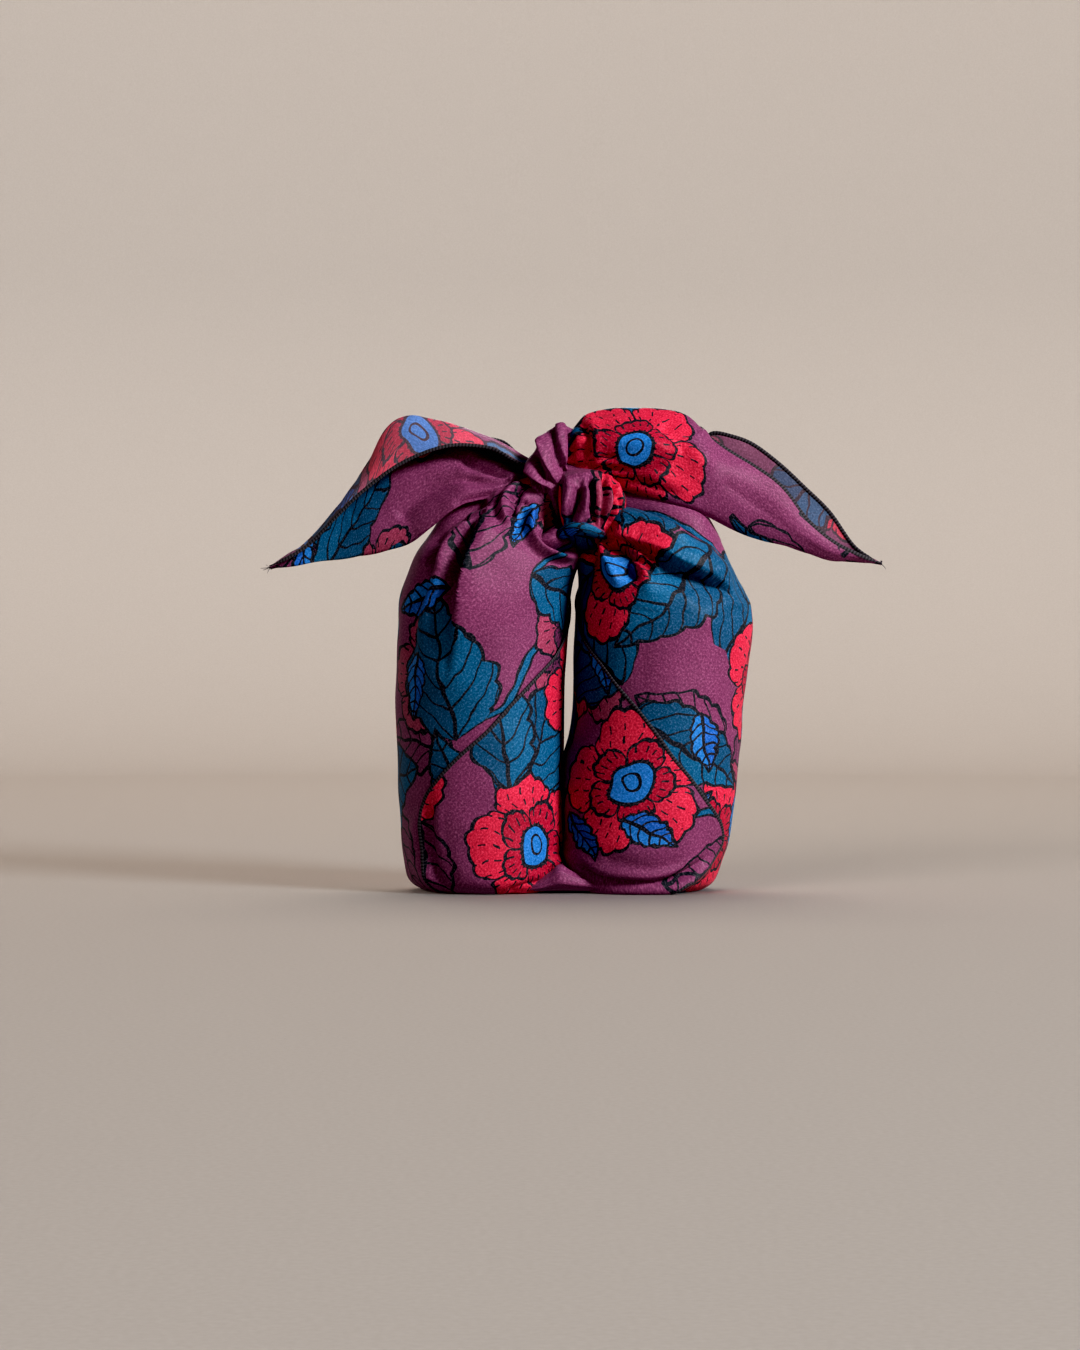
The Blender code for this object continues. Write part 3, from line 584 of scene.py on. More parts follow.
rightFolds = [
    # the shoulder's upper layer leans over the front
    ("step", [(15.5, 145), (24.1, 144.2), (31.1, 142.1), (37.7, 138.8), (44.2, 134.7), (50.8, 131.4),
              (57.4, 127.8), (63.1, 123.2), (67.2, 117.5)], 8, 6),
    ("valley", [(13.9, 143.3), (17.2, 139.2), (20.4, 134.7), (23.3, 130.2), (25.4, 126)], 2.2, 6),
    ("ridge", [(11, 142.5), (13.5, 136.8), (16.3, 130.2), (18, 122)], 2.2, 2.4),
    ("valley", [(8.6, 142.5), (6.5, 136.8), (4.9, 128.6), (4.4, 118.7)], 2.2, 2.4),
    ("ridge", [(19.6, 141.3), (26.2, 139.2), (32.3, 136.4), (37.7, 131.4)], 1.5, 2),
    ("valley", [(19.6, 138.8), (25.4, 136.4), (30.3, 133.1), (33.6, 129.4)], 1.1, 2.4),
    ("ridge", [(24.5, 134.3), (28.6, 129), (31.5, 119)], 3, 1.2),
    ("valley", [(27.8, 140.1), (36, 132.7), (44.2, 122)], 2.6, 1.2),
    ("valley", [(40.1, 135.5), (48.3, 125.3), (54.1, 115)], 2.4, 1),
    ("valley", [(10, 157), (17, 161), (25, 160.5), (33, 157.5), (42, 153), (50, 147.5), (57, 140)], 3, 6),
    ("ridge", [(14, 148), (22, 152), (31, 151), (40, 147.5), (48, 142)], 3.4, 1.8),
    ("valley", [(25.4, 145), (37.7, 141.7), (51.6, 135.1)], 2, 1),
    ("valley", [(58.2, 143.3), (61.4, 134.3), (65.9, 125.3), (71.3, 117.1)], 2, 1.6),
    ("ridge", [(47.5, 122.8), (53.6, 113.8), (59, 101.5)], 5, 1),
    ("valley", [(68, 116.3), (62.3, 109.7), (54.1, 100.7)], 4.5, 1),
    ("valley", [(30.3, 116.3), (27.8, 98.2), (27, 77.7)], 8, 0.7),
    # the foot: a crease above the turned-under hem
    ("valley", [(0.3, 12.1), (6.5, 5.8), (16.8, 2.9), (31.1, 2.1), (41.3, 4.3), (50, 9.6), (56, 15.6)],
                1.3, 3.6),
    ("ridge", [(0.7, 2.3), (10.6, 0.2), (31.1, 0.2), (44, 2.3), (53, 9), (58, 16)], 1.8, 1.8),
    ("valley", [(10.6, 13.3), (25, 9.5), (36, 9), (47, 14)], 3, 1),
    ("valley", [(-2.5, 24), (3, 18), (9, 12)], 2.6, 1.6),
]
leftBackFolds = [
    ("valley", [(-22, 158), (-36, 144), (-48, 124), (-54, 100)], 3.6, 3.2),
    ("valley", [(-16, 152), (-24, 138), (-30, 116)], 3, 2.6),
    ("ridge", [(-19, 155), (-30, 140), (-40, 118)], 3.6, 2),
    ("valley", [(-12, 148), (-13, 134), (-16, 120)], 2.4, 1.8),
    ("valley", [(-28, 162), (-46, 150), (-60, 132)], 2.6, 2),
]
rightBackFolds = [
    ("valley", [(18, 156), (32, 142), (44, 122), (50, 98)], 3.6, 3.2),
    ("valley", [(12, 150), (20, 136), (24, 116)], 3, 2.6),
    ("ridge", [(15, 153), (27, 138), (35, 116)], 3.6, 2),
    ("valley", [(8, 147), (9, 134), (11, 122)], 2.4, 1.6),
    ("valley", [(24, 160), (42, 148), (58, 130)], 2.6, 2),
]


def ringPoints(row, angle, grow):
    # points round the sloping ring between a row's outer and inner edge
    outX, outZ, inX, inZ, depth = row[:5]
    aside, back = np.cos(angle) * grow, -depth * np.sin(angle) * grow
    return np.stack([(outX + inX) / 2 + (outX - inX) / 2 * aside, back,
                     (outZ + inZ) / 2 + (outZ - inZ) / 2 * aside], axis=-1)


def onBias(around, up, spot=(0, 0), side=1):
    # the cloth runs diagonally round the roll; spot is where its print lies
    return np.stack([(around + up) / math.sqrt(2), (around - up) / math.sqrt(2) * side], axis=2) + spot


def middles(table):
    # the middle of each row's ring
    return np.insert((table[:, :2] + table[:, 2:4]) / 2, 1, 0, axis=1)


def rollStations(rows):
    # where the rings lie along the table of rows, closer together near the knot
    return np.interp(np.linspace(0, 1, roll["rings"]), [0, roll["lowerShare"], 1],
                     [0, roll["shoulderRow"], len(rows) - 1])


def rollSurface(rows, folds, backFolds, smoothFrom, smoothTo, side, spot, seed):
    # one turn of the roll, from the base's middle up to the knot, starting at its hem
    table = between(rows, rollStations(rows))
    table[:, [1, 3]] = np.maximum(table[:, [1, 3]], 0)
    turnAll = np.radians(np.linspace(-120, 760, 1761))
    spread = turnAll - roll["frontFiner"] * np.cos(turnAll)
    points = np.zeros((len(table), roll["around"], 3))
    turned = np.zeros((len(table), roll["around"]))  # radians round the column
    for k, row in enumerate(table):
        outX, outZ, inX, inZ, depth, hemAngle = row
        start = math.radians(hemAngle)
        end = start + math.radians(360 + roll["overlap"])
        steps = np.linspace(*np.interp([start, end], turnAll, spread), roll["around"])
        angle = np.interp(steps, spread, turnAll)
        lift = roll["hemLift"] * np.clip(outZ / roll["liftFoot"], 0, 1)
        lift = lift * np.clip((roll["liftTop"] - outZ) / roll["liftOver"], roll["liftLeast"], 1)
        half = max(math.hypot(outX - inX, outZ - inZ) / 2, 1)
        grow = 1 + lift * (1 - (angle - start) / fullTurn) / half
        # small gathers that run into the knot, but for the smooth front face
        high = np.clip((outZ - roll["gatherFrom"]) / (roll["gatherTo"] - roll["gatherFrom"]), 0, 1) ** 1.5
        degrees = np.degrees(angle) % 360
        beside = np.minimum(np.abs(degrees - smoothFrom), np.abs(degrees - smoothTo))
        rough = np.clip(beside / roll["smoothEdge"], 0, 1)
        rough = np.where((degrees > smoothFrom) & (degrees < smoothTo), 0, rough)
        drift = roll["gatherSlant"] * (outZ - roll["slantFrom"])
        wave = pleat(angle + drift, roll["gathers"], seed)
        wave = wave + roll["fineGather"] * pleat(angle - drift, roll["fineGathers"], seed + 2)
        points[k] = ringPoints(row, angle, grow + roll["gather"] * wave * high * rough / half)
        turned[k] = angle
    middle = middles(table)
    for lines, facing in ((folds, "front"), (backFolds, "back")):
        outward = outwardNormals(points, middle[:, None])
        points = pressFolds(points, outward, lines, facing)
    body = np.clip((points[..., 2] - roll["lumpsFrom"]) / roll["lumpsOver"], 0, 1)
    lumps = softNoise(points, roll["lumpSize"], seed) * roll["lumps"] * body
    points = points + outward * lumps[..., None]
    points[..., 2] = np.maximum(points[..., 2], 0)
    rise = pathLength(middle + table[:, 4:5] * (0, 1, 0))
    around = (turned - math.pi / 2) * roll["radius"]
    return points, onBias(around, rise[:, None] - roll["printHeight"], spot, side), outward


def innerTurns(rows):
    # the hidden turns of the roll, wound inside the one that shows
    table = between(rows, np.linspace(innerRoll["fromRow"], innerRoll["toRow"], innerRoll["rings"]))
    steps = int(innerRoll["stepsPerTurn"] * innerRoll["turns"])
    angle = np.radians(np.linspace(0, 360 * innerRoll["turns"], steps))
    inward = 1 - (innerRoll["inside"] + innerRoll["gap"] * angle / fullTurn) / innerRoll["radius"]
    points = np.stack([ringPoints(row, angle + math.radians(row[5] + roll["overlap"]), inward)
                       for row in table])
    around = np.repeat((angle + fullTurn)[None] * innerRoll["printRadius"], len(table), axis=0)
    return points, onBias(around, table[:, 1:2]), points - middles(table)[:, None]


saddleRows = [  # x, half depth, top
    (-30, 20, 4),
    (-18, 25, 4),
    (-10.5, 26.5, 8.5),
    (-6, 27.5, 12),
    (-1, 26, 9),
    (6, 24.5, 6),
    (16, 24.5, 4),
    (30, 20, 4),
]
saddle = {
    "stations": 46, "around": 72, "square": 0.6, "lift": 0.4,
    "pleats": 9, "pleatDepth": 0.9, "printRadius": 14, "spot": (120, 60),  # mm
}


def saddleSurface():
    # the cloth's bridge under and between the two bases
    table = resample(saddleRows, saddle["stations"])
    turn = np.linspace(0, fullTurn, saddle["around"])
    aside, up = (np.sign(wave) * np.abs(wave) ** saddle["square"] for wave in (np.cos(turn), np.sin(turn)))
    points = np.stack([
        np.stack([x + turn * 0, depth * aside, saddle["lift"] + top / 2 + top / 2 * up], axis=1)
        for x, depth, top in table])
    outward = outwardNormals(points, points.mean(axis=1, keepdims=True))
    gathers = pleat(turn[None, :] + points[..., 0] * 0.01, saddle["pleats"], 1.3) * saddle["pleatDepth"]
    points = points + outward * gathers[..., None]
    points[..., 2] = np.maximum(points[..., 2], 0.1)
    around = np.repeat((turn * saddle["printRadius"])[None], len(table), axis=0)
    return points, np.stack([points[..., 0], around], axis=2) + saddle["spot"], outward


# x, y, z, half width across, half thickness
bands = {
    "backBight": [
        (6, 9, 175, 6.6, 6),
        (1.5, 4, 181.5, 6.4, 7.6),
        (-4.2, -2.6, 182.2, 6.2, 8.8),
        (-9.2, -6.4, 176, 8, 9),
        (-11.4, -6.6, 168.5, 9, 8.6),
        (-9.8, -5, 161, 8.6, 8.2),
        (-4.5, -2, 154.5, 7.6, 7.8),
        (2, 4, 152, 6.5, 6.5),
    ],
    "frontBight": [
        (5, 5, 165, 8, 4),
        (4, -5, 167.8, 10, 4.2),
        (6, -13, 165.4, 12.6, 5.4),
        (7, -17, 158.5, 13.9, 6.2),
        (7.5, -15.5, 150.6, 12.8, 6),
        (7.5, -8, 144.8, 10, 5.6),
        (6, 3, 144, 9, 5.5),
    ],
    "rearBight": [
        (-6, -2, 174, 7.5, 5),
        (-4, 7, 176, 9, 5.5),
        (-2, 14, 170, 11, 6),
        (-1, 15.5, 161.5, 11.5, 6.6),
        (0, 12, 153, 9.5, 6.4),
        (1.5, 4, 147, 7.5, 5.4),
        (2.5, -3, 143.5, 7, 4),
    ],
    "tuck": [
        (-7.5, -11, 143.6, 1.6, 1.4),
        (-4.5, -17, 145.4, 2.6, 1.9),
        (0, -21.5, 147, 3, 2.1),
        (5, -22, 146.6, 2.8, 2),
        (9.5, -19, 145.2, 2.2, 1.8),
        (13, -12, 144, 1.4, 1.2),
    ],
}
bandFolds = {
    "backBight": [
        ("valley", [(-1.6, 196), (-0.6, 189), (-0.2, 182), (-0.8, 176), (-1.8, 172)], 1.6, 7.5),
        ("step", [(-7.2, 191), (-6.6, 184), (-5.4, 178.5), (-3.6, 173.5), (-2, 169)], 2.6, 2.2),
        ("step", [(-14.6, 187), (-13.6, 180.6), (-11.6, 175), (-9, 170), (-6.6, 165)], 2.6, 2.5),
        ("valley", [(-17.8, 183), (-16.2, 177), (-13.6, 172), (-9.9, 167.1)], 0.9, 3.6),
        ("step", [(-22.4, 175.4), (-17.9, 171.4), (-13.8, 168), (-8.7, 163.4)], 2.6, 2.6),
        ("valley", [(-21, 171), (-17, 167), (-12.8, 162), (-10.5, 157.5)], 1, 2.6),
        ("valley", [(-18, 164), (-14, 159), (-10.5, 152.5)], 1, 2.2),
        ("valley", [(-12, 165), (-9.9, 158), (-8.7, 150.7)], 0.9, 2.6),
    ],
    "frontBight": [
        ("valley", [(2.4, 166), (1.6, 160), (-0.5, 154.4), (-4.2, 148.5)], 1.5, 6.4),
        ("valley", [(-4.8, 169.2), (-5.9, 162), (-5.4, 153.6), (-4.2, 148)], 0.9, 1.6),
        ("ridge", [(-2.3, 168.8), (-2.9, 162), (-3.3, 155)], 1.6, 1),
        ("valley", [(6.1, 169.2), (7.1, 161.8), (7.1, 155.6), (9.8, 147)], 0.9, 3.2),
        ("valley", [(12, 170), (12.9, 161.8), (12, 155.6), (10.4, 146.5)], 0.9, 3.8),
        ("ridge", [(9.2, 168), (10, 160), (9.6, 152)], 1.6, 1),
        ("valley", [(15.6, 167.5), (17.2, 159.7), (15.5, 153.6), (11.6, 146)], 0.8, 3.4),
        ("valley", [(18.2, 163), (19.2, 156.5), (17.2, 150.7), (13, 145)], 0.7, 2.6),
    ],
    "rearBight": [
        ("valley", [(-9, 178), (-8, 170), (-7.5, 162), (-5, 152), (-2.5, 144)], 1.3, 4.2),
        ("valley", [(-4, 181), (-2.4, 172), (-2.6, 163), (-1, 154), (0, 144)], 1.2, 4.6),
        ("step", [(2.5, 181), (3.4, 172), (2.6, 163), (2.8, 154), (2, 144)], 2.4, 2.2),
        ("valley", [(7.5, 176), (8.4, 168), (7.6, 160), (5, 148)], 1.1, 3.6),
    ],
}
# mesh rings and points round, depth of the pleats in mm, and the print's spot
bandLook = {
    "backBight": {"mesh": (190, 150), "pleats": 0.5, "spot": (85, 78), "fadeOver": (0.95, 0.52)},
    "frontBight": {"mesh": (190, 150), "pleats": 0.7, "spot": (433, 510)},
    "rearBight": {"mesh": (110, 84), "pleats": 1.1, "spot": (60, 330)},
    "tuck": {"mesh": (60, 40), "pleats": 0.5, "spot": (512, 340)},
}
knotShape = {
    "centre": (2, 0, 165), "printRadius": 12,  # mm
    "pleats": 8, "twist": 0.25,  # how far the pleats wander round
    "pleatsShown": 0.12,  # the share of their depth that is left on the outer face
    "softFrom": 0.62, "softOver": 0.42, "softPasses": 70,  # where the back bight's folds soften over the top
}


def softened(points, outward):
    # the folds are sharp in front and soften over the top
    over = (outward[..., 1] + knotShape["softFrom"]) / knotShape["softOver"]
    soft = 0.5 * np.clip(over, 0, 1)[1:-1, :, None]
    for _ in range(knotShape["softPasses"]):
        around = (np.roll(points[:, :-1], 1, axis=1) + np.roll(points[:, :-1], -1, axis=1)) / 2
        around = np.concatenate([around, around[:, :1]], axis=1)[1:-1]
        points[1:-1] += soft * ((around + (points[2:] + points[:-2]) / 2) / 2 - points[1:-1])
    return points


def bandSurface(name):
    look, fromBehind = bandLook[name], name == "rearBight"
    rings, count = look["mesh"]
    table = resample(bands[name], rings)
    path = table[:, :3]
    ahead = unit(np.gradient(path, axis=0))
    turn = np.linspace(0, fullTurn, count)
    hidden = np.clip(0.9 + np.sin(turn) * (0 if fromBehind else -1), knotShape["pleatsShown"], 1)
    points = np.zeros((rings, count, 3))
    for k in range(rings):
        out = path[k] - knotShape["centre"]
        out = unit(out - ahead[k] * out.dot(ahead[k]))
        wide = np.cross(ahead[k], out)
        twist = knotShape["twist"] * math.sin(3 * math.pi * k / rings)
        lobes = look["pleats"] * pleat(turn + twist, knotShape["pleats"], table[0, 0]) * hidden
        points[k] = (path[k] + np.outer(np.cos(turn) * (table[k, 3] + lobes), wide)
                     + np.outer(np.sin(turn) * (table[k, 4] + lobes), out))
    outward = outwardNormals(points, path[:, None, :])
    points = pressFolds(points, outward, bandFolds.get(name, []), "back" if fromBehind else "front",
                        fadeOver=look.get("fadeOver", pressing["fadeOver"]))
    if name == "backBight":
        points = softened(points, outward)
    along = np.repeat(pathLength(path)[:, None], count, axis=1)
    around = np.repeat((turn * knotShape["printRadius"])[None], rings, axis=0)
    return points, np.stack([along, around], axis=2) + look["spot"], outward


# x, then z and y of: front hem, flap, ridge, behind the ridge, face, lower face, lower edge
leftEarRows = [
    (-8, (170, -4), (172, -3.5), (174, 0), (172, 4), (168, 3), (165, 0), (163, -3)),
    (-17, (172, -7), (173.5, -5.5), (176, -0.5), (174.5, 3.6), (171, 1), (168, -3), (166, -6)),
    (-25, (175.5, -8), (177.5, -6.2), (180.7, 0), (178, 4), (173.5, -1), (170, -6), (167, -9)),
    (-34, (180, -8.6), (182.3, -6.6), (185.2, 0), (182, 4.2), (175, -2), (168, -7), (161, -10.5)),
    (-47, (181.2, -9), (185.5, -6.6), (190, 1), (186, 4.6), (176, -2.6), (166, -7.4), (157, -11)),
    (-58, (179, -8.8), (186, -6.2), (193, 1), (188, 4.8), (174, -2.6), (161, -6.4), (149, -9)),
    (-68, (175, -8.2), (184.5, -6), (193.9, 1), (188, 4.8), (170, -2.2), (156, -5), (142.3, -5.4)),
    (-77, (169.5, -7.4), (179, -5.5), (188.6, 0.5), (183, 4.2), (165, -1.6), (151, -3.8), (139.4, -3)),
    (-85.5, (163, -6.4), (168.3, -4.8), (173.6, 0), (170, 3.2), (158, -1), (147, -2.8), (137.5, -1.6)),
    (-96, (153.2, -5.2), (155.7, -4), (158.4, -0.4), (155.8, 1.8), (149, 0.6), (142, 0), (136, 0)),
    (-108, (141.2, -4.2), (142.7, -3.4), (144, -1), (142.8, 1), (140, 1), (137, 0.8), (134.2, 0.6)),
    (-117, (135.2, -3.6), (136.6, -3), (137.5, -1.2), (136.4, 0.7), (135, 1), (133.9, 1), (132.9, 1)),
    (-124.6, (132.1, -1.6), (132.3, -1.5), (132.5, -1.1), (132.3, -0.7), (132, -0.6), (131.8, -0.6),
     (131.7, -0.6)),
]
# x, then z and y of: front hem, upper front, bulge, crisp fold, bottom fold, back layer, back hem
rightEarRows = [
    (-5, (176, 4), (179, 2), (178, -3), (173, -4), (169, 0), (170, 5), (173, 7)),
    (1.2, (185, 6), (190.5, 1.5), (184.5, -7.5), (173.5, -8), (168, -2), (172, 5), (179, 4.5)),
    (5.6, (189, 7.4), (195, 1), (186, -11), (172.5, -10.4), (167, -3.5), (173, 6), (182, 5)),
    (13, (191, 8.4), (196.8, 1), (185, -14), (171.8, -13), (165.6, -6), (173, 6), (185, 5)),
    (24, (192, 8.8), (197.6, 1), (184.5, -17), (171, -15.5), (162.4, -8.5), (172, 5.4), (186, 4.6)),
    (36, (191, 8.4), (196.5, 0.5), (183.5, -17.5), (170, -16), (159, -10), (170, 4.6), (185.5, 4.2)),
    (47, (189, 6.4), (193.4, -1), (180, -15.5), (166.5, -14), (155.8, -10), (167, 3.6), (184.5, 3.4)),
    (52, (190.2, 0.6), (187, -5), (177.4, -13.6), (164.4, -13), (153.8, -9), (165.4, 3), (184.8, 3.8)),
    (57, (184.8, -3), (181, -7.4), (174, -12), (162, -12), (151.6, -7.5), (164, 2.6), (188, 2.6)),
    (65, (179.5, -4.2), (175, -8), (168, -10.5), (157.5, -10), (147.5, -5), (162, 2.4), (186.6, 1.8)),
    (74, (173.8, -4.6), (168.5, -7.2), (162, -9), (153, -8.4), (143.8, -3.6), (160, 2.2), (183, 1.6)),
    (85, (165.3, -4.6), (160, -6.4), (155, -7.4), (148.5, -7), (141.3, -3), (155, 2), (174.7, 1.2)),
    (95, (152.7, -4), (149.5, -5.2), (146.5, -5.8), (142.8, -5.4), (138, -2), (148, 1.8), (165.3, 1.1)),
    (105.4, (143.5, -3.4), (141.6, -4.2), (139.8, -4.5), (137.6, -4.1), (135, -1.3), (142, 1.6), (155, 1)),
    (115.6, (138.2, -3.2), (137.4, -3.4), (136.6, -3.4), (135.6, -2.8), (134.4, -0.9), (137.2, 1.2),
     (140.8, 1)),
    (126, (133.9, -1.3), (133.8, -1.4), (133.6, -1.4), (133.4, -1.2), (133.3, -0.9), (133.5, -0.6),
     (133.9, -0.5)),
]
earBackHem = [  # the left ear's back layer, where its hem shows over the ridge beside the knot
    (-36, 2.4, 185.6), (-32.5, 3, 185.2), (-28.4, 3.4, 183.9), (-24.3, 3.6, 180.2), (-21.4, 3.4, 175.3),
    (-19.3, 2.6, 172), (-17, 1, 168.5),
]
leftEarFolds = [
    ("valley", [(-72.2, 151.5), (-64, 160.1), (-55, 165.5), (-45.2, 168.8)], 4, 2.4),
    ("valley", [(-46, 177), (-39.4, 173.3), (-31.2, 170.4), (-25.5, 168.8)], 1.6, 3.2),
    ("ridge", [(-41.1, 175.7), (-35.3, 174.5), (-29.6, 172.9)], 1.5, 1.2),
    ("valley", [(-25.5, 167.1), (-33.7, 166.7), (-42.7, 167.9), (-51.7, 167.9)], 1.3, 2),
    ("ridge", [(-24.7, 168.8), (-32.9, 168.8), (-42.7, 170)], 1.4, 1),
    ("valley", [(-25.5, 165.1), (-32.9, 162.2), (-41.9, 159.7), (-50.1, 157.7)], 1.3, 2.6),
    ("valley", [(-91.9, 151.5), (-79.6, 157.3), (-66.5, 168.8)], 5, 0.9),
]
rightEarFolds = [
    ("valley", [(3.2, 190.9), (5.3, 185.2), (5.3, 179.4), (3.6, 174.9)], 1.7, 3.2),
    ("valley", [(4, 174.1), (10.6, 176.5), (19.6, 177.4)], 1.4, 2.4),
    ("valley", [(4.9, 172.4), (13.1, 172.9), (24.5, 172)], 1.2, 1.8),
    ("ridge", [(6.5, 179.4), (13.1, 184.3), (21.3, 188.4)], 4, 1.2),
    ("valley", [(35.2, 191.7), (41.8, 186), (45, 179.4), (40.1, 173.7), (31.1, 171.2)], 3.4, 2.8),
    ("ridge", [(51.6, 188.4), (54.1, 179.4), (51.6, 170.4)], 4, 1.2),
    ("valley", [(12.2, 168.8), (27, 166.3), (47.5, 160.6)], 2, 1.4),
    ("valley", [(59.8, 167.9), (74.6, 157.3), (92.6, 145)], 4, 0.9),
]
# layer is the range of strips that the folds press; the last pair is the middle and half width of the strips
# painted paler as a sheen highlight
ears = {
    "left": {"spot": (380, 190), "layer": (2.6, 6.4), "paintedSheenBand": (1, 1.1)},
    "right": {"spot": (95, 200), "layer": (0.2, 4.2), "paintedSheenBand": (5.5, 1.3)},
    "stations": 144, "across": 96, "hemFrom": 12,  # the station where the hem leaves the knot
    "rootPleats": 9, "rootPleat": 1.5, "rootReach": 26, "lumps": 0.35, "lumpSize": 22,  # mm
}


def turnedUp(row):
    # adds the layer that turns up behind the lower edge
    (zFace, yFace), (zLow, yLow) = row[5], row[-1]
    rise = zFace - zLow
    room = min(rise / 12, 1)
    return row + ((zLow + 0.12 * rise, yLow + 3 * room), (zLow + 0.55 * rise, yFace + 4.4 * room),
                  (zLow + 0.85 * rise, yFace + 5 * room))


def earSurface(rows, folds, spot, layer, paintedSheenBand):
    table = np.array([[(row[0], y, z) for z, y in row[1:]] for row in rows], dtype=float)
    long = resample(table, ears["stations"])
    share = np.linspace(0, table.shape[1] - 1, ears["across"])
    points = np.stack([between(row, share) for row in long])
    normals = gridNormals(points)
    front = normals * np.where(normals[..., 1:2] > 0, -1, 1)
    mask = (np.clip((share - layer[0]) * 2, 0, 1) * np.clip((layer[1] - share) * 2, 0, 1))[None]
    points = pressFolds(points, front, folds, "front", mask)
    fromKnot = np.abs(points[..., 0] - rows[0][0])
    atRoot = np.exp(-(fromKnot / ears["rootReach"]) ** 2)
    rootPleats = pleat(share[None, :] * 1.25, ears["rootPleats"], rows[0][0]) * atRoot
    rough = rootPleats * ears["rootPleat"] + softNoise(points, ears["lumpSize"], 5) * ears["lumps"]
    points = points + front * rough[..., None]
    along = np.repeat(pathLength(long[:, 3])[:, None], ears["across"], axis=1)
    steps = np.linalg.norm(np.diff(points, axis=1), axis=2)
    cross = np.concatenate([np.zeros((ears["stations"], 1)), np.cumsum(steps, axis=1)], axis=1)
    cross = cross - cross[:, ears["across"] // 2][:, None]
    # the strips painted paler, a painted sheen highlight where the key light catches the ears
    reverse = (np.abs(share - paintedSheenBand[0]) < paintedSheenBand[1])[None] * 1.0
    return points, np.stack([along, cross], axis=2) + spot, reverse


def hemStrip(mesh, edge, inner):
    # a row of thread loops along an edge; inner is the next line of the cloth inwards
    length = pathLength(edge)
    count = max(int(length[-1] / (hem["pitch"] / hem["steps"])), 8)
    at = np.linspace(0, length[-1], count)
    line, into = (np.stack([np.interp(at, length, part[:, i]) for i in range(3)], axis=1)
                  for part in (edge, inner - edge))
    ahead = unit(np.gradient(line, axis=0))
    into = unit(into - ahead * np.sum(into * ahead, axis=1, keepdims=True))
    normal = np.cross(ahead, into)
    turn = np.linspace(0, fullTurn, hem["sides"] + 1)
    stitch = np.abs(np.sin(math.pi * at / hem["pitch"])) ** 0.6
    wide = hem["width"] / 2 * (0.88 + 0.12 * stitch) * np.clip((length[-1] - at) / hem["taper"], 0.3, 1)
    thick = hem["thick"] / 2 * (0.62 + 0.38 * stitch)
    aside = hem["width"] * 0.34 + np.cos(turn)[None, :, None] * wide[:, None, None]
    outward = into[:, None, :] * aside
    outward = outward + normal[:, None, :] * np.sin(turn)[None, :, None] * thick[:, None, None]
    points = line[:, None, :] + outward
    points[..., 2] = np.maximum(points[..., 2], 0)
    mesh.add(points, np.stack(np.meshgrid(at, turn, indexing="ij"), axis=2), outward)


def frayedTip(mesh, tip, way, seed=4):
    # a few loose thread ends past the corner of the cloth
    rng = np.random.default_rng(seed)
    way = unit(way)
    side = unit(np.cross(way, (0, 1, 0)))
    turn = np.linspace(0, fullTurn, 6)
    ring = np.outer(np.cos(turn), side) + np.outer(np.sin(turn), np.cross(side, way))
    t = np.linspace(0, 1, 9)
    for _ in range(hem["looseEnds"]):
        drift = rng.normal(size=3) * (0.4, 0.3, 0.4)
        bend = np.outer(t, way + drift * 0.5) + np.outer(t ** 2, drift)
        line = tip + bend * rng.uniform(*hem["looseLength"])
        outward = ring[None] * (hem["looseThick"] * (1 - 0.5 * t))[:, None, None]
        mesh.add(line[:, None, :] + outward, np.stack(np.meshgrid(turn, t * 4), axis=2), outward)


# the angles between which the front stays smooth, which way the print runs, its spot, and a seed
columns = (
    (leftRows, leftFolds, leftBackFolds, 40, 176, 1, (390, 280), 2),
    (rightRows, rightFolds, rightBackFolds, 30, 176, -1, (460, 180), 7),
)


def makeWrap():
    cotton, thread = printedCotton(), overlockThread()
    cloth, tied, ends, hems = (ClothMesh() for _ in range(4))
    for rows, *settings in columns:
        points, places, outward = rollSurface(rows, *settings)
        cloth.add(points, places, outward)
        first, last = np.searchsorted(rollStations(rows), [roll["hemFrom"], len(rows) - 1 - roll["hemTo"]])
        hemStrip(hems, points[first:last, 0], points[first:last, 3])
        cloth.add(*innerTurns(rows))
    print("rolled columns done")
    cloth.add(*saddleSurface())
    for name in bands:
        tied.add(*bandSurface(name))
    print("knot done")
    for rows, folds, look in (([turnedUp(row) for row in leftEarRows], leftEarFolds, ears["left"]),
                              (rightEarRows, rightEarFolds, ears["right"])):
        points, places, reverse = earSurface(rows, folds, **look)
        # the ears carry the marks for the painted sheen highlight
        ends.add(points, places, np.zeros(points.shape) + (0, 1, 0), reverse)
        free = points[ears["hemFrom"]:]
        hemStrip(hems, free[:, 0], free[:, 2])
        hemStrip(hems, free[:, -1], free[:, -3])
        frayedTip(hems, points[-2].mean(axis=0), points[-1].mean(axis=0) - points[-9].mean(axis=0))
    backHem = resample(earBackHem, 40)
    hemStrip(hems, backHem, backHem + (0, 1.5, -3))
    print("ears done")
    wrap = cloth.build("rolledColumns", cotton)
    knot = tied.build("squareKnot", cotton)
    droops = ends.build("droopingEars", cotton)
    binding = hems.build("overlockedHem", thread)
    for piece in (wrap, knot, droops, binding):
        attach(piece, "root")
        print(piece.name, sum(len(face.vertices) - 2 for face in piece.data.polygons), "triangles")
    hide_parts("furoshiki_cloth")
    return wrap, knot, droops, binding


studio = {
    "floorRadius": 1.5, "curve": 0.5, "wallHeight": 1.5,  # metres of the paper cove
    "bendSteps": 41, "around": 180,
    "fibres": 700,  # to the metre
    "aim": 0.1,  # metres up the wrap that the lamps point at
    "air": 0.05,  # how bright the room's own light is
    "black": 0.014,  # what counts as black in the picture
}
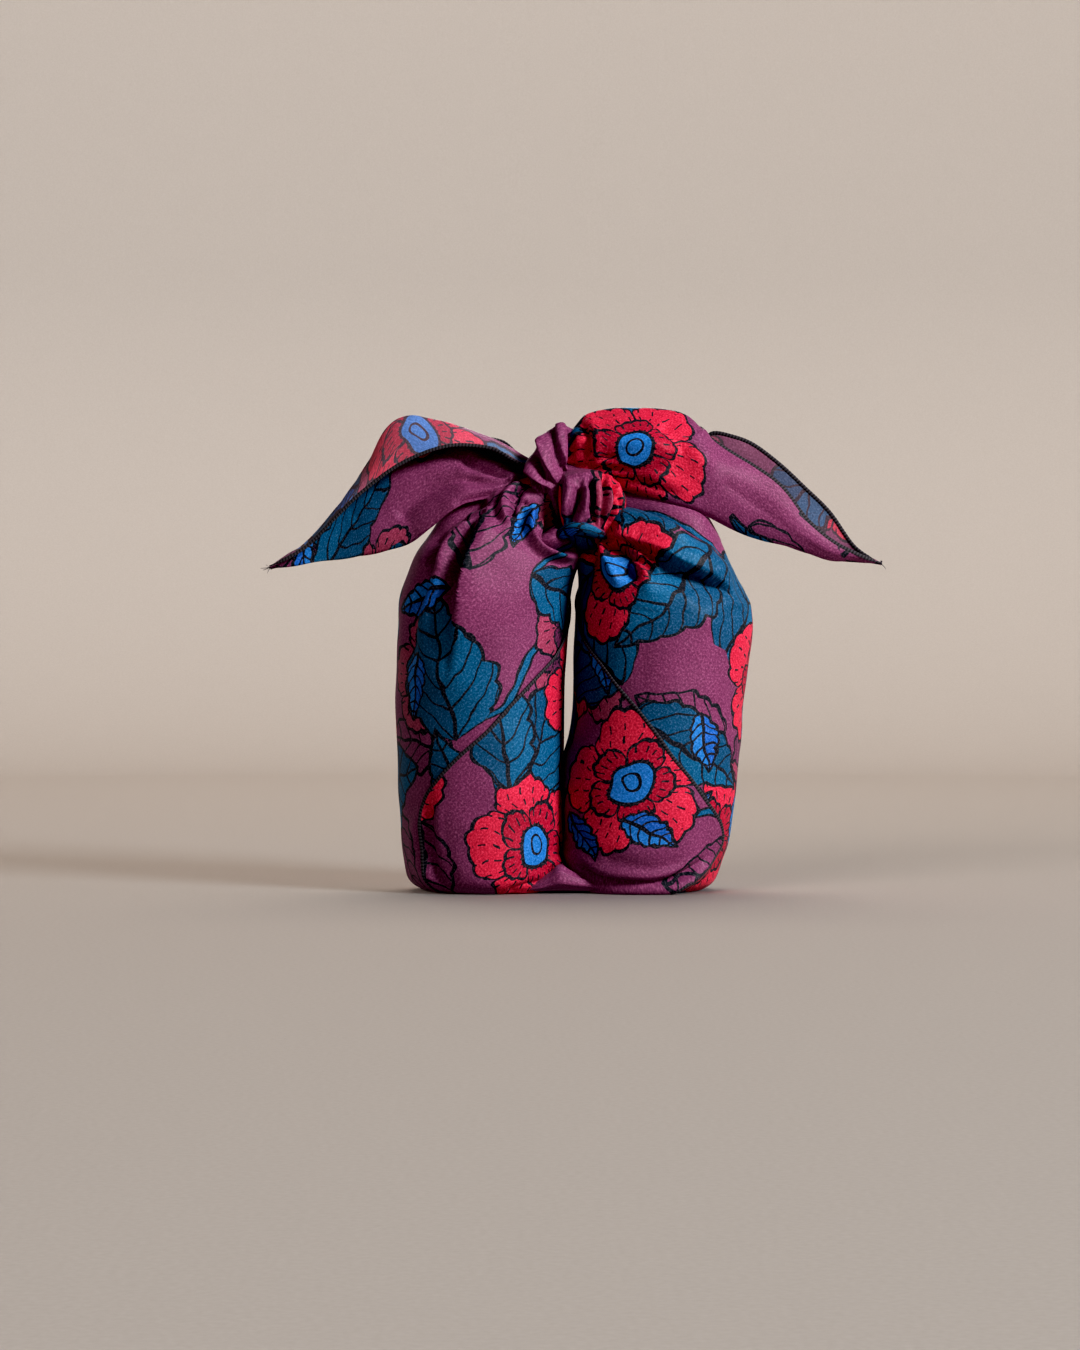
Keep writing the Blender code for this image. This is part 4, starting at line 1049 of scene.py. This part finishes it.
# azimuth to the right of the camera, elevation, metres away, panel size, watts, colour, what it lights
lamps = {
    "keyFromRight": (50, 32, 1.9, 0.5, 36.5, (1, 0.975, 0.945), "cloth"),
    "softFill": (10, 60, 2.2, 1.2, 0.6, (0.9, 0.95, 1), "cloth"),
    "backSoft": (181, 24, 1.8, 0.6, 11, (1, 0.97, 0.94), "cloth"),
    "paperOverhead": (180, 64, 2.4, 1.8, 22, (1, 0.87, 0.78), "paper"),
    "paperWash": (-32, 13, 4.5, 2.4, 82, (1, 0.9, 0.83), "paper"),
    "paperSide": (50, 16, 3.4, 1.1, 60, (0.82, 0.92, 1), "paper"),
}


def paperCove():
    # seamless matt paper: a round floor that curves up into a low wall, so that no side is bare
    material, add = newMaterial("mattBackdropPaper")
    fibre = add("TexNoise", {"Vector": add("TexCoord", out=3), "Scale": studio["fibres"], "Detail": 4})
    add("OutputMaterial", add("BsdfPrincipled", {
        "Base Color": add("Mix.RGBA", fibre, hexColour("c2bdb8"), hexColour("cecac6")),
        "Normal": add("Bump", {"Height": fibre, "Strength": 0.25, "Distance": 0.1 * mm}),
        "Roughness": 0.9, "Specular IOR Level": 0.2}))
    start, r, count = studio["floorRadius"], studio["curve"], studio["around"]
    bend = np.radians(np.linspace(0, 90, studio["bendSteps"]))
    profile = [(0.05, 0), *((start + r * math.sin(a), r - r * math.cos(a)) for a in bend),
               (start + r, studio["wallHeight"])]
    corners = [(radius * math.cos(a), radius * math.sin(a), z) for radius, z in profile
               for a in np.linspace(0, fullTurn, count + 1)[:-1]]
    faces = [tuple(range(count))]
    for i in range(len(profile) - 1):
        for k in range(count):
            after = (k + 1) % count
            faces.append((i * count + k, (i + 1) * count + k, (i + 1) * count + after, i * count + after))
    mesh = bpy.data.meshes.new("paperCove")
    mesh.from_pydata(corners, [], faces, shade_flat=False)
    mesh.materials.append(material)
    cove = placed("paperCove", mesh)
    cove.location.z = -0.2 * mm
    return cove


def areaLight(name, azimuth, elevation, distance, size, watts, colour, lit, blockers):
    # a square panel aimed at the wrap, out of sight, flagged off from everything but the things in lit
    light = bpy.data.lights.new(name, "AREA")
    light.shape, light.size, light.energy, light.color = "SQUARE", size, watts, colour
    lamp = placed(name, light)
    a, e = math.radians(azimuth), math.radians(elevation)
    way = Vector((math.sin(a) * math.cos(e), -math.cos(a) * math.cos(e), math.sin(e)))
    lamp.location = way * distance + Vector((0, 0, studio["aim"]))
    lamp.rotation_euler = way.to_track_quat("Z", "Y").to_euler()
    lamp.visible_camera = False
    lamp.light_linking.receiver_collection = lit
    lamp.light_linking.blocker_collection = blockers


def makeStudio(pieces):
    scene, lit = bpy.context.scene, {}
    for key, things in (("cloth", pieces), ("paper", [paperCove()])):
        lit[key] = bpy.data.collections.new(key + "Lit")
        for thing in things:
            lit[key].objects.link(thing)
    for name, (*settings, target) in lamps.items():
        areaLight(name, *settings, lit[target], lit["cloth"])
    scene.world = bpy.data.worlds.new("studioAir")
    scene.world.use_nodes = True
    air = scene.world.node_tree.nodes["Background"]
    air.inputs[0].default_value = hexColour("d8d4d0")
    air.inputs[1].default_value = studio["air"]
    camera = bpy.data.cameras.new("frontCamera")
    camera.lens, camera.sensor_fit = view["lens"], "VERTICAL"
    camera.sensor_height = camera.sensor_width = view["sensor"]
    eye = placed("frontCamera", camera)
    eye.location = ((view["x"] + shift[0]) * mm, -view["distance"] * mm, view["height"] * mm)
    eye.rotation_euler = (math.radians(90), 0, 0)
    scene.camera = eye
    scene.view_settings.view_transform = "Standard"
    scene.view_settings.look = "High Contrast"
    scene.view_settings.use_curve_mapping = True
    tone = scene.view_settings.curve_mapping
    tone.black_level = (studio["black"],) * 3
    tone.update()
    print("studio done")


makeStudio(makeWrap())
